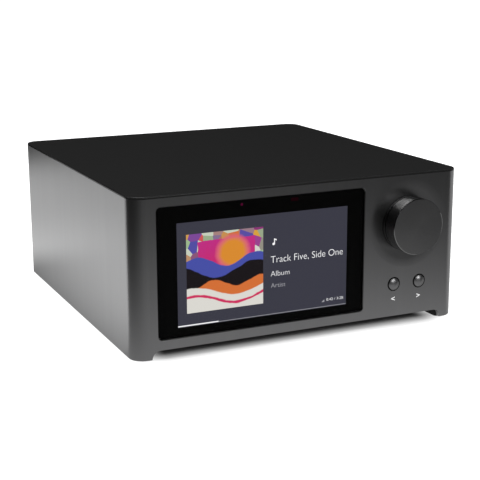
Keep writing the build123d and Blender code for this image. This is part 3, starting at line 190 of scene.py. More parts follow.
floor_reach = 14.0
shadow_inset_x, shadow_inset_y, shadow_fade = 0.024, 0.011, 0.024
floor_mesh = bpy.data.meshes.new("floor")
floor_mesh.from_pydata([(-floor_reach, -floor_reach, 0), (floor_reach, -floor_reach, 0),
                        (floor_reach, floor_reach, 0), (-floor_reach, floor_reach, 0)], [], [(0, 1, 2, 3)])
floor = bpy.data.objects.new("floor", floor_mesh)
bpy.context.scene.collection.objects.link(floor)
paper = Finish("white_paper").set(base_color=grey(0.45), roughness=0.9, specular_ior_level=0.0)
# The white glow is painted light; its fade towards the cabinet paints the soft edge of the shadow.
past_shadow = paper.node("ShaderNodeMapRange", {"interpolation_type": "SMOOTHSTEP"},
                         {"Value": from_cabinet(paper, shadow_inset_x, shadow_inset_y), 2: shadow_fade})
paper.glow(past_shadow * Field(paper, seen_by_eye_and_mirror(paper.tree)))
floor.data.materials.append(paper.material)

# Studio lamps: a large soft box overhead, a weaker one far off at the left, and one in front at the
# right. The surround is plain white to the eye and to mirrors, and gives less light than it shows.
surround_as_light, surround_as_seen = 0.30, 1.0
world = bpy.data.worlds.new("studio")
world.use_nodes = True
bpy.context.scene.world = world
surround = world.node_tree.nodes["Background"]
surround.inputs["Color"].default_value = grey(1.0)
ambient = world.node_tree.nodes.new("ShaderNodeMapRange")
ambient.inputs["To Min"].default_value = surround_as_light
ambient.inputs["To Max"].default_value = surround_as_seen
world.node_tree.links.new(seen_by_eye_and_mirror(world.node_tree), ambient.inputs["Value"])
world.node_tree.links.new(ambient.outputs[0], surround.inputs["Strength"])


def soft_lamp(name, place, aim, width, depth, power, along=(1, 0, 0)):
    """One rectangular soft box. Its width runs as nearly along a direction as its aim lets it."""
    lamp = bpy.data.lights.new(name, "AREA")
    lamp.shape = "RECTANGLE"
    lamp.size = width
    lamp.size_y = depth
    lamp.energy = power
    box = bpy.data.objects.new(name, lamp)
    back = (Vector(place) - Vector(aim)).normalized()
    side = (Vector(along) - back * back.dot(Vector(along))).normalized()
    turn = Matrix((side, back.cross(side), back)).transposed().to_4x4()
    box.matrix_world = Matrix.Translation(place) @ turn
    bpy.context.scene.collection.objects.link(box)


soft_lamp("overhead_softbox", (-0.1, 0.15, 1.5), (0, 0, 0), 1.0, 1.3, 25)
soft_lamp("left_softbox", (-1.6, 0.6, 0.9), (0, 0, 0.05), 0.9, 0.7, 3)
soft_lamp("front_softbox", (0.33, -1.35, 0.88), (0.07, -0.12, 0.06), 0.9, 0.4, 9, (1.6, 0.73, 0.70))

# Reflected cards: sheets that only mirrors see. Some lie round the object and some stand far off,
# and between them they grade what the metal, the glass and the top mirror.
card_reach = 5.0
front_leg_x, front_leg_y = 0.1, -0.112
right_corner_y, left_corner_y = -2.4, card_reach - 0.25
side_card_x, side_card_y, right_card_y = -0.767, 0.55, 0.5


def card_finish(name):
    """A matt black card, which may then glow."""
    return Finish(name).set(base_color=grey(0.0), roughness=0.9, specular_ior_level=0.0)


def mirror_card(name, finish, corners):
    """A card that only mirrors see."""
    sheet = bpy.data.meshes.new(name)
    sheet.from_pydata(corners, [], [tuple(range(len(corners)))])
    sheet.materials.append(finish.material)
    card = bpy.data.objects.new(name, sheet)
    bpy.context.scene.collection.objects.link(card)
    card.visible_camera = False
    card.visible_diffuse = False
    card.visible_shadow = False


def lying_card(name, finish, height, outline):
    """A level card with an outline in X and Y."""
    mirror_card(name, finish, [(x, y, height) for x, y in outline])


def standing_card(name, finish, start, end):
    """An upright card from one point of the floor to another."""
    mirror_card(name, finish, [(*start, 0), (*end, 0), (*end, card_reach), (*start, card_reach)])


card_black = card_finish("card_black").set(base_color=grey(0.012))
card_dim = card_finish("card_dim").set(emission_color=grey(0.09), emission_strength=1.0)
card_white = card_finish("card_white").set(emission_color=grey(0.7), emission_strength=1.0)
card_graded = card_finish("card_graded")
card_graded.glow(card_graded.span(from_cabinet(card_graded), 0.0, 0.38, 0.62, 0.07)
                 * card_graded.span(card_graded.place("X"), -0.35, -0.08, 0.3, 1.0)
                 * card_graded.span(card_graded.place("X"), 0.08, 0.22, 1.0, 0.7))
card_side = card_finish("card_side")
away = from_cabinet(card_side)
card_side.glow(card_side.span(away, 0.0, 0.07, 0.36, 1.05)
               * card_side.span(away, 0.07, 0.2, 1.0, 0.75)
               * card_side.span(card_side.place("Y"), -0.03, 0.11, 1.28, 0.98), 1.4)

back_left, back_right = (-card_reach, card_reach), (card_reach, card_reach)
front_left, front_right = (-card_reach, -card_reach), (card_reach, -card_reach)
lying_card("card_front_floor", card_graded, 0.0004,
           [front_left, front_right, (card_reach, right_corner_y), (front_leg_x, front_leg_y),
            (-front_leg_x, front_leg_y), (-card_reach, left_corner_y)])
lying_card("card_right_floor", card_white, 0.0006,
           [(front_leg_x, front_leg_y), (card_reach, right_corner_y), (card_reach, right_card_y),
            (front_leg_x, right_card_y)])
lying_card("card_left_floor", card_side, 0.0003,
           [(-front_leg_x, front_leg_y), (-front_leg_x, side_card_y), (side_card_x, side_card_y)])
lying_card("card_back_floor", card_black, 0.002,
           [(-card_reach, side_card_y), (card_reach, side_card_y), back_right, back_left])
standing_card("card_front", card_dim, front_left, front_right)
standing_card("card_back", card_black, back_left, back_right)
standing_card("card_left", card_black, front_left, back_left)
standing_card("card_right", card_dim, front_right, back_right)
lying_card("card_roof", card_black, card_reach, [front_left, front_right, back_right, back_left])

# Cabinet wrap: one thick aluminium band that makes the front, the sides and the rear frame. It is
# ground with a vertical grain, blasted lightly and anodised dark silver. The chamfer of the window is
# painted darker, a painted shade that hides its highlight. The dish round the knob is shaded a little
# shallower than its form.
front_y = -0.1212
window_left, window_right, window_low, window_high = -0.0955, 0.0425, 0.0095, 0.0910
chamfer_front_y, chamfer_back_y = -0.12115, -0.1190
knob_x, knob_z = 0.072, 0.0643
dish_reach, dish_back_y, dish_easing = 0.0275, -0.1160, 0.5


def dress(finish, *names):
    """Give CAD pieces a finish."""
    for name in names:
        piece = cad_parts[name]
        piece.data.materials.clear()
        piece.data.materials.append(finish.material)


wrap_metal = Finish("anodised_wrap")
fine_grain = wrap_metal.noise(1400, (1, 1, 0.012))
broad_grain = wrap_metal.noise(160, (1, 1, 0.03), 2.0)
blast = wrap_metal.noise(9000)
wrap_shade = wrap_metal.mix(wrap_metal.span(broad_grain + fine_grain * 0.5, 0.4, 1.1),
                            (0.222, 0.222, 0.225, 1), (0.234, 0.234, 0.237, 1))
# Painted shade: the window's chamfer is painted darker so that it shows no highlight.
chamfer_painted_shade = (wrap_metal.between("X", window_left, window_right)
                  * wrap_metal.between("Y", chamfer_front_y, chamfer_back_y)
                  * wrap_metal.between("Z", window_low, window_high))
from_knob = wrap_metal.distance(wrap_metal.place("X") - knob_x, wrap_metal.place("Z") - knob_z)
in_dish = (from_knob < dish_reach) * (wrap_metal.place("Y") < dish_back_y)
true_slope = wrap_metal.node("ShaderNodeNewGeometry", {}, {}, "Normal")
eased = wrap_metal.node("ShaderNodeMix", {"data_type": "VECTOR"},
                        {0: in_dish * dish_easing, 4: true_slope, 5: (0.0, -1.0, 0.0)}, 1)
eased_slope = wrap_metal.node("ShaderNodeVectorMath", {"operation": "NORMALIZE"}, {0: eased}, "Vector")
wrap_metal.set(
    base_color=wrap_metal.mix(chamfer_painted_shade, wrap_shade, grey(0.10)),
    metallic=1.0,
    roughness=wrap_metal.span(fine_grain, 0.3, 0.7, 0.285, 0.315),
    normal=wrap_metal.bump(blast, 0.00002, 0.3, eased_slope))
dress(wrap_metal, "case_wrap")

# Top panel: one sheet of black acrylic, polished, with its upper edges rounded over. It covers the
# lid plate and the upper rim of the wrap.
top_gloss = Finish("black_acrylic")
top_gloss.set(base_color=grey(0.016), roughness=top_gloss.span(top_gloss.noise(40), 0.3, 0.7, 0.10, 0.14),
              specular_ior_level=0.08)
dress(top_gloss, "top_panel")

# Display glass: a clear plate with a low-reflection coating, flush with the front, with black ink
# printed round the screen on its back. The lamp and the receiver show through two small windows.
ink_plane = front_y + 0.00160
lit_plane = front_y + 0.00170
layer_gap = 0.00002
lamp_x, lamp_z, lamp_hole = -40.4, 86.2, 0.8
receiver_left, receiver_right, receiver_low, receiver_high = -8.6, -3.8, 85.2, 87.2
screen_left, screen_right, screen_low, screen_high = -81.0, 29.6, 17.1, 78.9


def metres(corners):
    """Corners in millimetres, given in metres."""
    return [(x / 1000, z / 1000) for x, z in corners]


def rectangle(left, right, low, high):
    """The four corners of a rectangle, its sides in millimetres."""
    return metres([(left, low), (right, low), (right, high), (left, high)])


def disc(x, z, radius, corners=32):
    """The corners of a circle, its middle and radius in millimetres."""
    turns = [2 * math.pi * k / corners for k in range(corners)]
    return metres([(x + radius * math.cos(turn), z + radius * math.sin(turn)) for turn in turns])


def add_piece(name, mesh, finish):
    """Put a new piece on the cabinet, in its finish."""
    mesh.materials.clear()
    mesh.materials.append(finish.material)
    piece = bpy.data.objects.new(name, mesh)
    bpy.context.scene.collection.objects.link(piece)
    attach(piece, "cabinet")


def flat(name, outline, depth, finish, holes=()):
    """A thin flat piece that faces the front, with an outline in X and Z at depth Y."""
    shape = bmesh.new()
    loops = []
    for loop in (outline, *holes):
        corners = [shape.verts.new((x, depth, z)) for x, z in loop]
        loops += [shape.edges.new((corners[k - 1], corners[k])) for k in range(len(corners))]
    bmesh.ops.triangle_fill(shape, edges=loops, use_dissolve=True, normal=(0, -1, 0))
    for face in shape.faces:
        face.normal_update()
        if face.normal.y > 0:
            face.normal_flip()
    mesh = bpy.data.meshes.new(name)
    shape.to_mesh(mesh)
    shape.free()
    add_piece(name, mesh, finish)


clear_plate = Finish("coated_glass")
clear_plate.set(base_color=grey(0.001), specular_ior_level=0.08, alpha=0.2,
                roughness=clear_plate.span(clear_plate.noise(300), 0.3, 0.7, 0.02, 0.04))
dress(clear_plate, "display_glass")
black_ink = Finish("black_ink")
black_ink.slot = "front_glass"
black_ink.set(base_color=grey(0.0015), roughness=black_ink.span(black_ink.noise(2000), 0, 1, 0.5, 0.6),
              specular_ior_level=0.05)
flat("glass_border_ink", rectangle(-93.2, 40.5, 12.0, 88.8), ink_plane, black_ink,
     [rectangle(screen_left, screen_right, screen_low, screen_high), disc(lamp_x, lamp_z, lamp_hole),
      rectangle(receiver_left, receiver_right, receiver_low, receiver_high)])

# Screen: a 5-inch colour panel. Its picture is drawn in thin layers just in front of the module: a
# dark slate ground, a cover picture, a source sign, three lines of words, the time and a progress bar.
words_plane = lit_plane - 2 * layer_gap
pixel_row_rate = 90000.0
capital_height = 0.70
column_left, played_to = -21.7, -55.6


def lit(name, colour):
    """A finish for a lit part of the picture, with the panel's fine pixel rows."""
    finish = Finish(name)
    rows = finish.maths("SINE", finish.place("Z") * pixel_row_rate)
    shade = finish.span(rows, -1, 1, 0.96, 1.0)
    level = finish.node("ShaderNodeVectorMath", {"operation": "SCALE"},
                        {0: colour[:3], "Scale": shade}, "Vector")
    finish.set(base_color=grey(0.0), roughness=0.6, specular_ior_level=0.0, emission_color=level,
               emission_strength=1.0)
    finish.slot = "screen"
    return finish


def words(name, text, left, base, height, width, finish, plane, way=1, weight=0.0):
    """One line of words, its capitals height tall and the line width wide, in millimetres. It reads
    from the front, or from the rear where way is -1, and weight thins or thickens its strokes."""
    line = bpy.data.curves.new(name, "FONT")
    line.body = text
    line.offset = weight
    probe = bpy.data.objects.new(name, line)
    bpy.context.scene.collection.objects.link(probe)
    bpy.context.view_layer.update()
    mesh = bpy.data.meshes.new_from_object(probe.evaluated_get(bpy.context.evaluated_depsgraph_get()))
    bpy.data.objects.remove(probe)
    start = min(vertex.co.x for vertex in mesh.vertices)
    end = max(vertex.co.x for vertex in mesh.vertices)
    for vertex in mesh.vertices:
        along = (vertex.co.x - start) / (end - start) * width
        rise = vertex.co.y / capital_height * height
        vertex.co = ((left + way * along) / 1000, plane, (base + rise) / 1000)
    add_piece(name, mesh, finish)


slate = lit("screen_slate", (0.058, 0.058, 0.080))
white_light = lit("screen_white", (0.95, 0.95, 0.97))
white_light.set(emission_strength=1.25)
grey_light = lit("screen_grey", (0.45, 0.45, 0.49))
flat("screen_ground", rectangle(screen_left, screen_right, screen_low, screen_high), lit_plane, slate)
words("screen_title", "Track Five, Side One", column_left, 49.1, 4.2, 48.6, white_light, words_plane,
      weight=-0.012)
words("screen_album", "Album", column_left, 40.9, 3.3, 12.4, white_light, words_plane, weight=-0.014)
words("screen_artist", "Artist", column_left + 0.1, 33.9, 2.8, 9.6, grey_light, words_plane, weight=-0.006)
words("screen_time", "0:42 / 3:28", 16.0, 21.0, 1.7, 11.6, white_light, words_plane, weight=-0.006)
flat("screen_signal", metres([(12.6, 20.6), (14.6, 20.6), (14.6, 22.2)]), words_plane, grey_light)
flat("screen_progress", rectangle(screen_left, played_to, 17.5, 18.2), words_plane, white_light)
flat("screen_progress_left", rectangle(played_to, screen_right, 17.5, 17.8), words_plane, grey_light)
note_stem = [(-19.6, 60.4), (-19.6, 63.9), (-17.9, 63.3), (-17.9, 62.5), (-19.0, 62.9), (-19.0, 60.4)]
flat("screen_note_stem", metres(note_stem), words_plane, white_light)
flat("screen_note_head", disc(-19.9, 60.6, 0.8), words_plane - layer_gap, white_light)

# Cover picture: a painted landscape on the screen, made by formula. A patchwork border frames a
# magenta sky with a round sun, over blue, black, orange and cream waves.
cover_left, cover_low, cover_width, cover_height = -75.3, 25.0, 48.6, 46.7
sun_across, sun_up = 0.60, 0.72
cover = lit("cover_picture", (1, 1, 1))
cover_across = (cover.place("X") - cover_left / 1000) / (cover_width / 1000)
cover_up = (cover.place("Z") - cover_low / 1000) / (cover_height / 1000)
brush = cover.noise(110, (1, 1, 2.2), 4.0) - 0.5
streak = cover.noise(60, (5, 1, 0.6), 2.0) - 0.5


def wave(base, rise, turns, start):
    """The share of the picture below one wavy line."""
    line = cover.maths("SINE", cover_across * (turns * 2 * math.pi) + start)
    return cover.span(cover_up + brush * 0.05 - line * rise, base, base + 0.012, 1.0, 0.0)


def sun(radius, edge=0.02):
    """The share of the picture inside one disc round the sun's middle."""
    aside = cover_across + brush * 0.03 - sun_across
    above = cover_up + brush * 0.03 - sun_up
    return cover.span(aside * aside + above * above, radius * radius, radius * radius + edge, 1.0, 0.0)


orange, blue, cream = (0.80, 0.20, 0.05, 1), (0.08, 0.10, 0.46, 1), (0.88, 0.86, 0.80, 1)
coal, crimson, magenta = (0.015, 0.012, 0.014, 1), (0.72, 0.03, 0.14, 1), (0.62, 0.04, 0.30, 1)
rose, amber, line_red = (0.85, 0.16, 0.22, 1), (0.85, 0.32, 0.04, 1), (0.75, 0.04, 0.14, 1)
patches = [(0.0, orange), (0.22, (0.75, 0.04, 0.20, 1)), (0.40, blue), (0.55, (0.85, 0.45, 0.06, 1)),
           (0.70, (0.30, 0.04, 0.22, 1)), (0.85, (0.42, 0.62, 0.34, 1)), (1.0, cream)]
tile = cover.node("ShaderNodeTexVoronoi", {}, {"Vector": cover.place(), "Scale": 150.0}, "Color")
lot = cover.node("ShaderNodeSeparateColor", {}, {"Color": tile}, "Red")
patchwork = cover.node("ShaderNodeValToRGB", {}, {"Fac": lot}, "Color")
ramp = patchwork.socket.node.color_ramp
ramp.elements[0].position, ramp.elements[0].color = patches[0]
ramp.elements[1].position, ramp.elements[1].color = patches[-1]
for position, colour in patches[1:-1]:
    ramp.elements.new(position).color = colour
off_centre = cover.maths("ABSOLUTE", cover_across + brush * 0.05 - 0.52)
border = cover.either(off_centre > 0.37, cover_up + brush * 0.05 > 0.90)
sky = cover.mix(cover.span(cover_up + streak * 0.5, 0.3, 1.0), crimson, magenta)
picture = cover.mix(border, sky, patchwork)
red_line = wave(0.155, 0.07, 0.9, 1.0) - wave(0.12, 0.07, 0.9, 1.0)
for share, colour in ((sun(0.20), rose), (sun(0.14), amber), (wave(0.62, 0.07, 1.3, 0.4), blue),
                      (wave(0.50, 0.09, 1.0, 2.2), coal), (wave(0.33, 0.05, 1.6, 4.4), orange),
                      (wave(0.24, 0.07, 0.9, 1.0), cream), (red_line, line_red)):
    picture = cover.mix(share, picture, colour)
cover.set(emission_color=picture)
flat("cover_picture", rectangle(cover_left, cover_left + cover_width, cover_low, cover_low + cover_height),
     words_plane, cover)

# Standby lamp and infrared receiver: a small red lamp and a dark red window behind the border. Each
# shows as a tinted spot just behind the ink, a little larger than the hole in it. The lamp glows as a
# lamp. The receiver and its window glow too, a painted glow, though they give no light.
window_plane, window_margin = ink_plane + 0.00005, 0.1
# This finish glows: on the lamp that is its own light, and on the receiver it is a painted glow.
lamp_red = Finish("lamp_red")
lamp_red.set(base_color=lamp_red.mix(lamp_red.noise(4000), (0.10, 0.0, 0.015, 1), (0.16, 0.0, 0.03, 1)),
             roughness=0.3, emission_color=(0.30, 0.0, 0.07, 1), emission_strength=0.5)
dress(lamp_red, "standby_lamp", "infrared_receiver")
flat("lamp_window", disc(lamp_x, lamp_z, lamp_hole + window_margin / 2), window_plane,
     lit("lamp_window", (0.085, 0.003, 0.028)))
# The receiver's window glows dim red: a painted glow, as the receiver gives no light.
flat("receiver_window_painted_glow", rectangle(receiver_left - window_margin, receiver_right + window_margin,
                                  receiver_low - window_margin, receiver_high + window_margin),
     window_plane, lit("receiver_window_painted_glow", (0.012, 0.001, 0.003)))

# Volume knob: a turned aluminium cap, polished and anodised dark silver. Its face has fine rings, and
# its side has fine turning lines, a bright cut edge at the front and one groove near the back. The
# side is the same metal as the face, but painted near-black, a painted dark reflection.
knob_face_y, face_layer, knob_radius, cut_edge_width = -0.1330, 0.00002, 0.01745, 0.00036
ring_rate, turning_rate = 42000.0, 15700.0
knob_metal = Finish("polished_knob")
from_axis = knob_metal.distance(knob_metal.place("X") - knob_x, knob_metal.place("Z") - knob_z)
from_face = knob_metal.place("Y") - knob_face_y
rings = knob_metal.maths("SINE", from_axis * ring_rate)
turnings = knob_metal.maths("SINE", from_face * turning_rate)
face = from_face < face_layer
cut_edge = (from_axis > knob_radius - cut_edge_width) * (from_face < cut_edge_width)
turned_side = 1.0 - knob_metal.either(face, cut_edge)
face_shade = knob_metal.mix(knob_metal.noise(30), (0.21, 0.21, 0.212, 1), (0.23, 0.23, 0.232, 1))
# The side's near-black is painted: a painted dark reflection on the same metal as the face.
side_painted_dark = knob_metal.mix(cut_edge, grey(0.085), grey(0.24))
knob_metal.set(base_color=knob_metal.mix(face, side_painted_dark, face_shade), metallic=1.0,
               roughness=knob_metal.span(rings, -1, 1, 0.24, 0.30) * face + (1.0 - face) * 0.10,
               normal=knob_metal.bump(rings * face * 0.1 + turnings * turned_side, 0.000038, 1.0))
dress(knob_metal, "volume_knob")

# Track buttons: small domed caps turned from the same dark metal, each in a round hole of the front.
# Their edges, where the holes shade them, are painted near-black as painted shade.
button_spread, button_z, dome_radius = 0.0184, 0.0264, 0.0037
button_metal = Finish("polished_buttons")
beside = button_metal.off("X", knob_x) - button_spread / 2
# The rim share is painted shade: each cap's edge is painted near-black where the hole shades it.
rim = button_metal.distance(beside, button_metal.place("Z") - button_z) > dome_radius
dome = button_metal.mix(button_metal.noise(200), (0.20, 0.20, 0.203, 1), (0.24, 0.24, 0.243, 1))
button_metal.set(base_color=button_metal.mix(rim, dome, grey(0.02)), metallic=1.0, roughness=0.37)
dress(button_metal, "previous_button", "next_button")

# Signs under the buttons: an arrowhead of two strokes under each, pointing outwards, screen-printed in
# white. The same ink prints the signs at the rear. The print has a faint painted glow.
sign_plane, sign_z = front_y - 0.00003, 16.9
# The white print's emission is a painted glow, which makes it brighter than its lighting.
print_white_painted_glow = Finish("white_print_painted_glow")
print_white_painted_glow.set(base_color=print_white_painted_glow.mix(print_white_painted_glow.noise(6000), grey(0.80), grey(0.86)), roughness=0.5,
                emission_color=grey(0.25), emission_strength=1.0)


def arrowhead(name, middle_x, way):
    """One printed arrowhead of two strokes, pointing left or right."""
    reach, rise, stroke = 1.5, 1.35, 0.75
    corners = [(-reach, 0), (reach, rise), (reach, rise - stroke), (-reach + 1.9 * stroke, 0),
               (reach, stroke - rise), (reach, -rise)]
    flat(name, metres([(middle_x + way * x, sign_z + z) for x, z in corners]), sign_plane, print_white_painted_glow)


arrowhead("previous_sign", 62.3, 1)
arrowhead("next_sign", 81.3, -1)

# Knob drive: a moulded nylon hub is pressed on a plated steel shaft. The shaft turns in a die-cast
# encoder, which a plated nut holds in the front.


def moulding(name, colour, roughness=0.5):
    """Moulded plastic or rubber with a fine eroded grain."""
    finish = Finish(name)
    darker = tuple(0.82 * part for part in colour) + (1.0,)
    return finish.set(base_color=finish.mix(finish.noise(350), darker, colour + (1.0,)), roughness=roughness,
                      normal=finish.bump(finish.noise(4500, detail=1.0), 0.00004, 0.35))


def plating(name, colour, roughness=0.28):
    """Plated or plain metal with faint uneven wear."""
    finish = Finish(name)
    wear = finish.noise(260)
    darker = tuple(0.86 * part for part in colour) + (1.0,)
    return finish.set(base_color=finish.mix(wear, darker, colour + (1.0,)), metallic=1.0,
                      roughness=finish.span(wear, 0.3, 0.7, roughness, roughness + 0.09))


nickel = plating("nickel_plate", (0.62, 0.60, 0.56))
zinc = plating("zinc_plate", (0.50, 0.52, 0.54), 0.34)
dress(moulding("nylon", (0.55, 0.54, 0.50)), "knob_hub")
dress(zinc, "encoder_body")
dress(nickel, "encoder_shaft", "encoder_nut")

# Control board: a glass-fibre board with copper tracks under dark green solder mask, screwed to posts
# behind the front. It carries the encoder and the two push switches of the track buttons.
mask_dark, mask_track = (0.006, 0.022, 0.014, 1), (0.012, 0.050, 0.028, 1)
row_rate, column_rate = 3600.0, 2900.0
above_all = 1.0


def laminate(name, across, along, layers=()):
    """A circuit board's finish, with tracks along two of its axes. Each layer is a range of heights
    and the colour of what lies in it."""
    finish = Finish(name)
    bend = finish.noise(45, detail=1.0) * 9.0
    rows = finish.maths("SINE", finish.place(across) * row_rate + bend) > 0.55
    columns = finish.maths("SINE", finish.place(along) * column_rate - bend) > 0.80
    colour = finish.mix(finish.either(rows, columns), mask_dark, mask_track)
    for low, high, layer_colour in layers:
        colour = finish.mix(finish.between("Z", low, high), colour, layer_colour)
    return finish.set(base_color=colour, roughness=finish.span(rows, 0, 1, 0.42, 0.34))


dress(laminate("control_laminate", "X", "Z"), "control_board")
dress(moulding("switch_case", (0.05, 0.05, 0.055), 0.4), "push_switches")

# Front frame: one black moulding that carries the screen and the button guides. A steel retainer
# closes the screen pocket behind the module's steel back.
dress(moulding("frame_plastic", (0.022, 0.022, 0.024), 0.55), "front_frame")
dress(zinc, "display_retainer", "front_frame_screws")
dress(plating("module_steel", (0.42, 0.43, 0.44), 0.4), "screen_module")

# Lid plate, base tray and rear panel: the lid and the case screws are zinc-plated steel, and the tray
# and the rear panel are steel under fine black powder coat. The feet under the tray are rubber.
dress(zinc, "lid_plate", "case_screws")
powder = Finish("powder_coat")
powder.set(base_color=powder.mix(powder.noise(700), grey(0.022), grey(0.030)), roughness=0.55,
           normal=powder.bump(powder.noise(3500, detail=1.0), 0.00006, 0.4))
dress(powder, "base_tray", "rear_panel")
dress(moulding("foot_rubber", (0.028, 0.028, 0.028), 0.8), "feet")

# Main board: memory, processor and converters are black chips, and the eight capacitors behind them
# are aluminium cans. The streaming module has a tinned shield, and an amber flex joins the screen.
board_top = 0.0155
over_board, over_chips = board_top + 0.0001, board_top + 0.0032
module_bottom, module_top = 0.0204, 0.0222
chip_black, can_metal, tin = grey(0.012), (0.60, 0.61, 0.62, 1), (0.58, 0.58, 0.56, 1)
main_laminate = laminate("main_laminate", "X", "Y", [(over_board, above_all, chip_black),
                                                     (over_chips, above_all, can_metal)])
main_laminate.set(metallic=main_laminate.place("Z") > over_chips)
dress(main_laminate, "main_board")
module_laminate = laminate("module_laminate", "X", "Y", [(0.0, module_bottom, chip_black),
                                                         (module_top, above_all, tin)])
module_laminate.set(metallic=module_laminate.place("Z") > module_top)
dress(module_laminate, "streaming_module")
dress(moulding("amber_film", (0.42, 0.16, 0.02), 0.3), "display_flex")

# Power board: a choke and a fuse holder in black, a ferrite transformer with a taped coil, and two
# reservoir capacitors in black sleeves with a pale stripe and a bare end.
coil_y, tape_reach, tape_low, tape_high = -0.0374, 0.0076, 0.0204, 0.0426
bare_end_z, stripe_y = 0.0484, -0.0926
dress(laminate("power_laminate", "X", "Y", [(over_board, above_all, chip_black)]), "power_board")
ferrite = Finish("ferrite_and_tape")
taped = (ferrite.off("Y", coil_y) < tape_reach) * ferrite.between("Z", tape_low, tape_high)
ferrite.set(base_color=ferrite.mix(taped, ferrite.mix(ferrite.noise(900), grey(0.025), grey(0.045)),
                                   (0.52, 0.33, 0.03, 1)),
            roughness=ferrite.span(taped, 0, 1, 0.7, 0.35))
dress(ferrite, "transformer")
sleeve = Finish("capacitor_sleeve")
bare_end = sleeve.place("Z") > bare_end_z
black_sleeve = sleeve.mix(sleeve.noise(80), grey(0.010), grey(0.016))
striped_sleeve = sleeve.mix(sleeve.place("Y") < stripe_y, black_sleeve, grey(0.42))
sleeve.set(base_color=sleeve.mix(bare_end, striped_sleeve, can_metal), metallic=bare_end, roughness=0.35)
dress(sleeve, "reservoir_capacitors")

# Amplifier board: three shielded inductors beside a black anodised heat sink with drawn fins. The
# boards on the tray stand on nickel-plated hexagonal spacers and are held by small plated screws.
dress(laminate("amplifier_laminate", "X", "Y", [(over_board, above_all, grey(0.03))]), "amplifier_board")
drawn = Finish("drawn_black_fins")
die_lines = drawn.noise(900, (1, 0.02, 1))
drawn.set(base_color=drawn.mix(die_lines, grey(0.018), grey(0.030)), metallic=0.7,
          roughness=drawn.span(die_lines, 0.3, 0.7, 0.32, 0.45))
dress(drawn, "heat_sink")
dress(nickel, "board_spacers", "inner_screws")

# Rear panel's screws and printed signs: black screws, numbers over the line sockets, the side beside
# each row of them, and the side and pole of each speaker terminal, all in white ink with a painted glow.
rear_print_plane = 0.10583
wide_figure, narrow_figure = 2.0, 0.5


def rear_sign(name, text, left, base, height, width):
    """One sign on the rear panel, sizes in millimetres."""
    words(name, text, left, base, height, width, print_white_painted_glow, rear_print_plane, -1, 0.006)


dress(plating("black_screw", (0.05, 0.05, 0.052), 0.35), "rear_panel_screws")
for column, x in enumerate((-83.0, -67.0, -51.0, -35.0), start=1):
    figure_width = wide_figure if column > 1 else narrow_figure
    rear_sign(f"line_number_{column}", str(column), x + figure_width / 2, 73.0, 2.9, figure_width)
for side, x in (("L", 44.0), ("R", 22.0)):
    rear_sign(f"speaker_plus_{side}", f"{side} +", x + 3.0, 75.3, 3.0, 6.0)
    rear_sign(f"speaker_minus_{side}", f"{side} -", x + 2.8, 25.6, 3.0, 5.6)
rear_sign("line_upper_side", "L", -22.8, 62.6, 2.9, 1.9)
rear_sign("line_lower_side", "R", -22.8, 44.6, 2.9, 2.2)

# Speaker terminals: gold-plated studs and clamp washers in a black insulating plate, with glossy caps,
# red for plus and black for minus.
gold = plating("gold_plate", (0.80, 0.56, 0.24), 0.2)
socket_black = moulding("socket_black", (0.016, 0.016, 0.017), 0.45)
dress(socket_black, "terminal_plate")
dress(nickel, "terminal_nuts")
dress(gold, "terminal_studs")
for pole, colour in (("positive", (0.45, 0.012, 0.014)), ("negative", (0.02, 0.02, 0.021))):
    cap_finish = moulding(f"cap_{pole}", colour, 0.25).set(coat_weight=0.4)
    for side in ("left", "right"):
        dress(gold, f"clamp_washer_{side}_{pole}")
        dress(cap_finish, f"terminal_cap_{side}_{pole}")

# Line sockets: gold-plated collars in one black block, with a white insert in each upper one and a
# red insert in each lower one.
between_rows_z = 0.055
dress(socket_black, "line_block")
dress(gold, "line_collars")
inserts = Finish("insert_plastic")
inserts.set(base_color=inserts.mix(inserts.place("Z") > between_rows_z, (0.50, 0.02, 0.02, 1),
                                   (0.72, 0.72, 0.70, 1)),
            roughness=inserts.span(inserts.noise(900), 0.3, 0.7, 0.35, 0.45))
dress(inserts, "line_inserts")

# Lower sockets: plated steel shells with black plastic inside for network, video and data, and black
# moulded housings for the optical socket and the two mini sockets, which have plated rings.
mouth_margin, mini_ring_y = 0.00005, 0.1059


def shelled(name, middle_x, mouth_width, low, high):
    """A plated steel shell with black plastic inside its mouth, sizes in millimetres."""
    finish = Finish(f"{name}_shell")
    wear = finish.noise(260)
    steel = finish.mix(wear, (0.52, 0.51, 0.49, 1), (0.60, 0.59, 0.57, 1))
    inside = ((finish.off("X", middle_x / 1000) < mouth_width / 2000 + mouth_margin)
              * finish.between("Z", low / 1000 - mouth_margin, high / 1000 + mouth_margin))
    finish.set(base_color=finish.mix(inside, steel, chip_black), metallic=1.0 - inside,
               roughness=finish.span(wear, 0.3, 0.7, 0.28, 0.37))
    dress(finish, name)


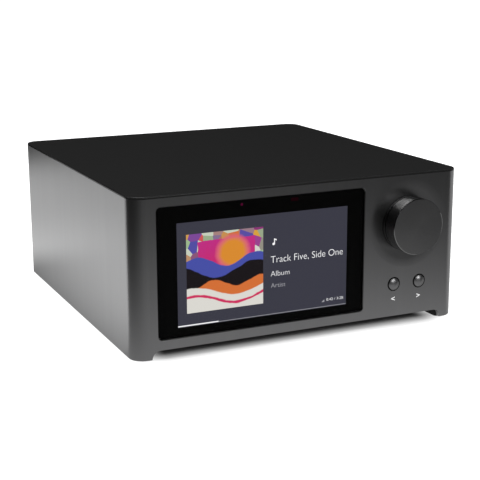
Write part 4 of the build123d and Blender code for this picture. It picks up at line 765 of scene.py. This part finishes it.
shelled("ethernet_socket", -82.0, 11.8, 18.5, 28.0)
shelled("hdmi_socket", -58.0, 11.0, 17.0, 20.0)
shelled("usb_socket", -36.0, 11.0, 17.0, 21.0)
dress(socket_black, "optical_socket")
dress(moulding("shutter_grey", (0.05, 0.05, 0.055), 0.35), "optical_shutter")
mini = Finish("mini_socket")
ring = mini.place("Y") > mini_ring_y
mini_black = mini.mix(mini.noise(400), grey(0.012), grey(0.018))
mini.set(base_color=mini.mix(ring, mini_black, (0.60, 0.58, 0.54, 1)), metallic=ring, roughness=0.35)
dress(mini, "mini_sockets")

# Mains inlet and power switch: black mouldings with plated blades, and a rocker with its two marks,
# a bar for on above and a ring for off below.
rocker_x, bar_z, ring_z = 0.080, 0.0680, 0.0602
bar_half_width, bar_half_height, ring_inner, ring_outer = 0.00028, 0.0016, 0.0013, 0.0018
dress(socket_black, "mains_inlet", "switch_housing")
dress(nickel, "inlet_blades")
rocker = Finish("rocker_plastic")
from_middle = rocker.off("X", rocker_x)
bar = (from_middle < bar_half_width) * (rocker.off("Z", bar_z) < bar_half_height)
from_ring = rocker.distance(from_middle, rocker.place("Z") - ring_z)
ring_mark = (from_ring < ring_outer) * (from_ring > ring_inner)
rocker_black = rocker.mix(rocker.noise(400), grey(0.012), grey(0.018))
rocker.set(base_color=rocker.mix(rocker.either(bar, ring_mark), rocker_black, grey(0.75)), roughness=0.32)
dress(rocker, "power_rocker")

# Inner wires: stranded copper in plastic sleeves. Those to the speaker terminals are red and black,
# and those from the mains inlet are brown and blue.
plus_over_z, plus_before_y = 0.055, 0.064
live_over_z, live_beyond_x = 0.034, 0.0905


def colour_sleeves(finish, share, colour, colour_elsewhere):
    """Plastic sleeves in one colour for a share of the surface, and in another elsewhere."""
    finish.set(base_color=finish.mix(share, colour_elsewhere, colour),
               roughness=finish.span(finish.noise(300), 0.3, 0.7, 0.40, 0.50))


speaker_sleeves = Finish("speaker_sleeves")
plus = speaker_sleeves.either(speaker_sleeves.place("Z") > plus_over_z,
                              speaker_sleeves.place("Y") < plus_before_y)
colour_sleeves(speaker_sleeves, plus, (0.42, 0.015, 0.015, 1), grey(0.015))
dress(speaker_sleeves, "speaker_wires")
mains_sleeves = Finish("mains_sleeves")
live = mains_sleeves.either(mains_sleeves.place("Z") > live_over_z,
                            mains_sleeves.place("X") > live_beyond_x)
colour_sleeves(mains_sleeves, live, (0.12, 0.045, 0.02, 1), (0.02, 0.06, 0.30, 1))
dress(mains_sleeves, "mains_wires")
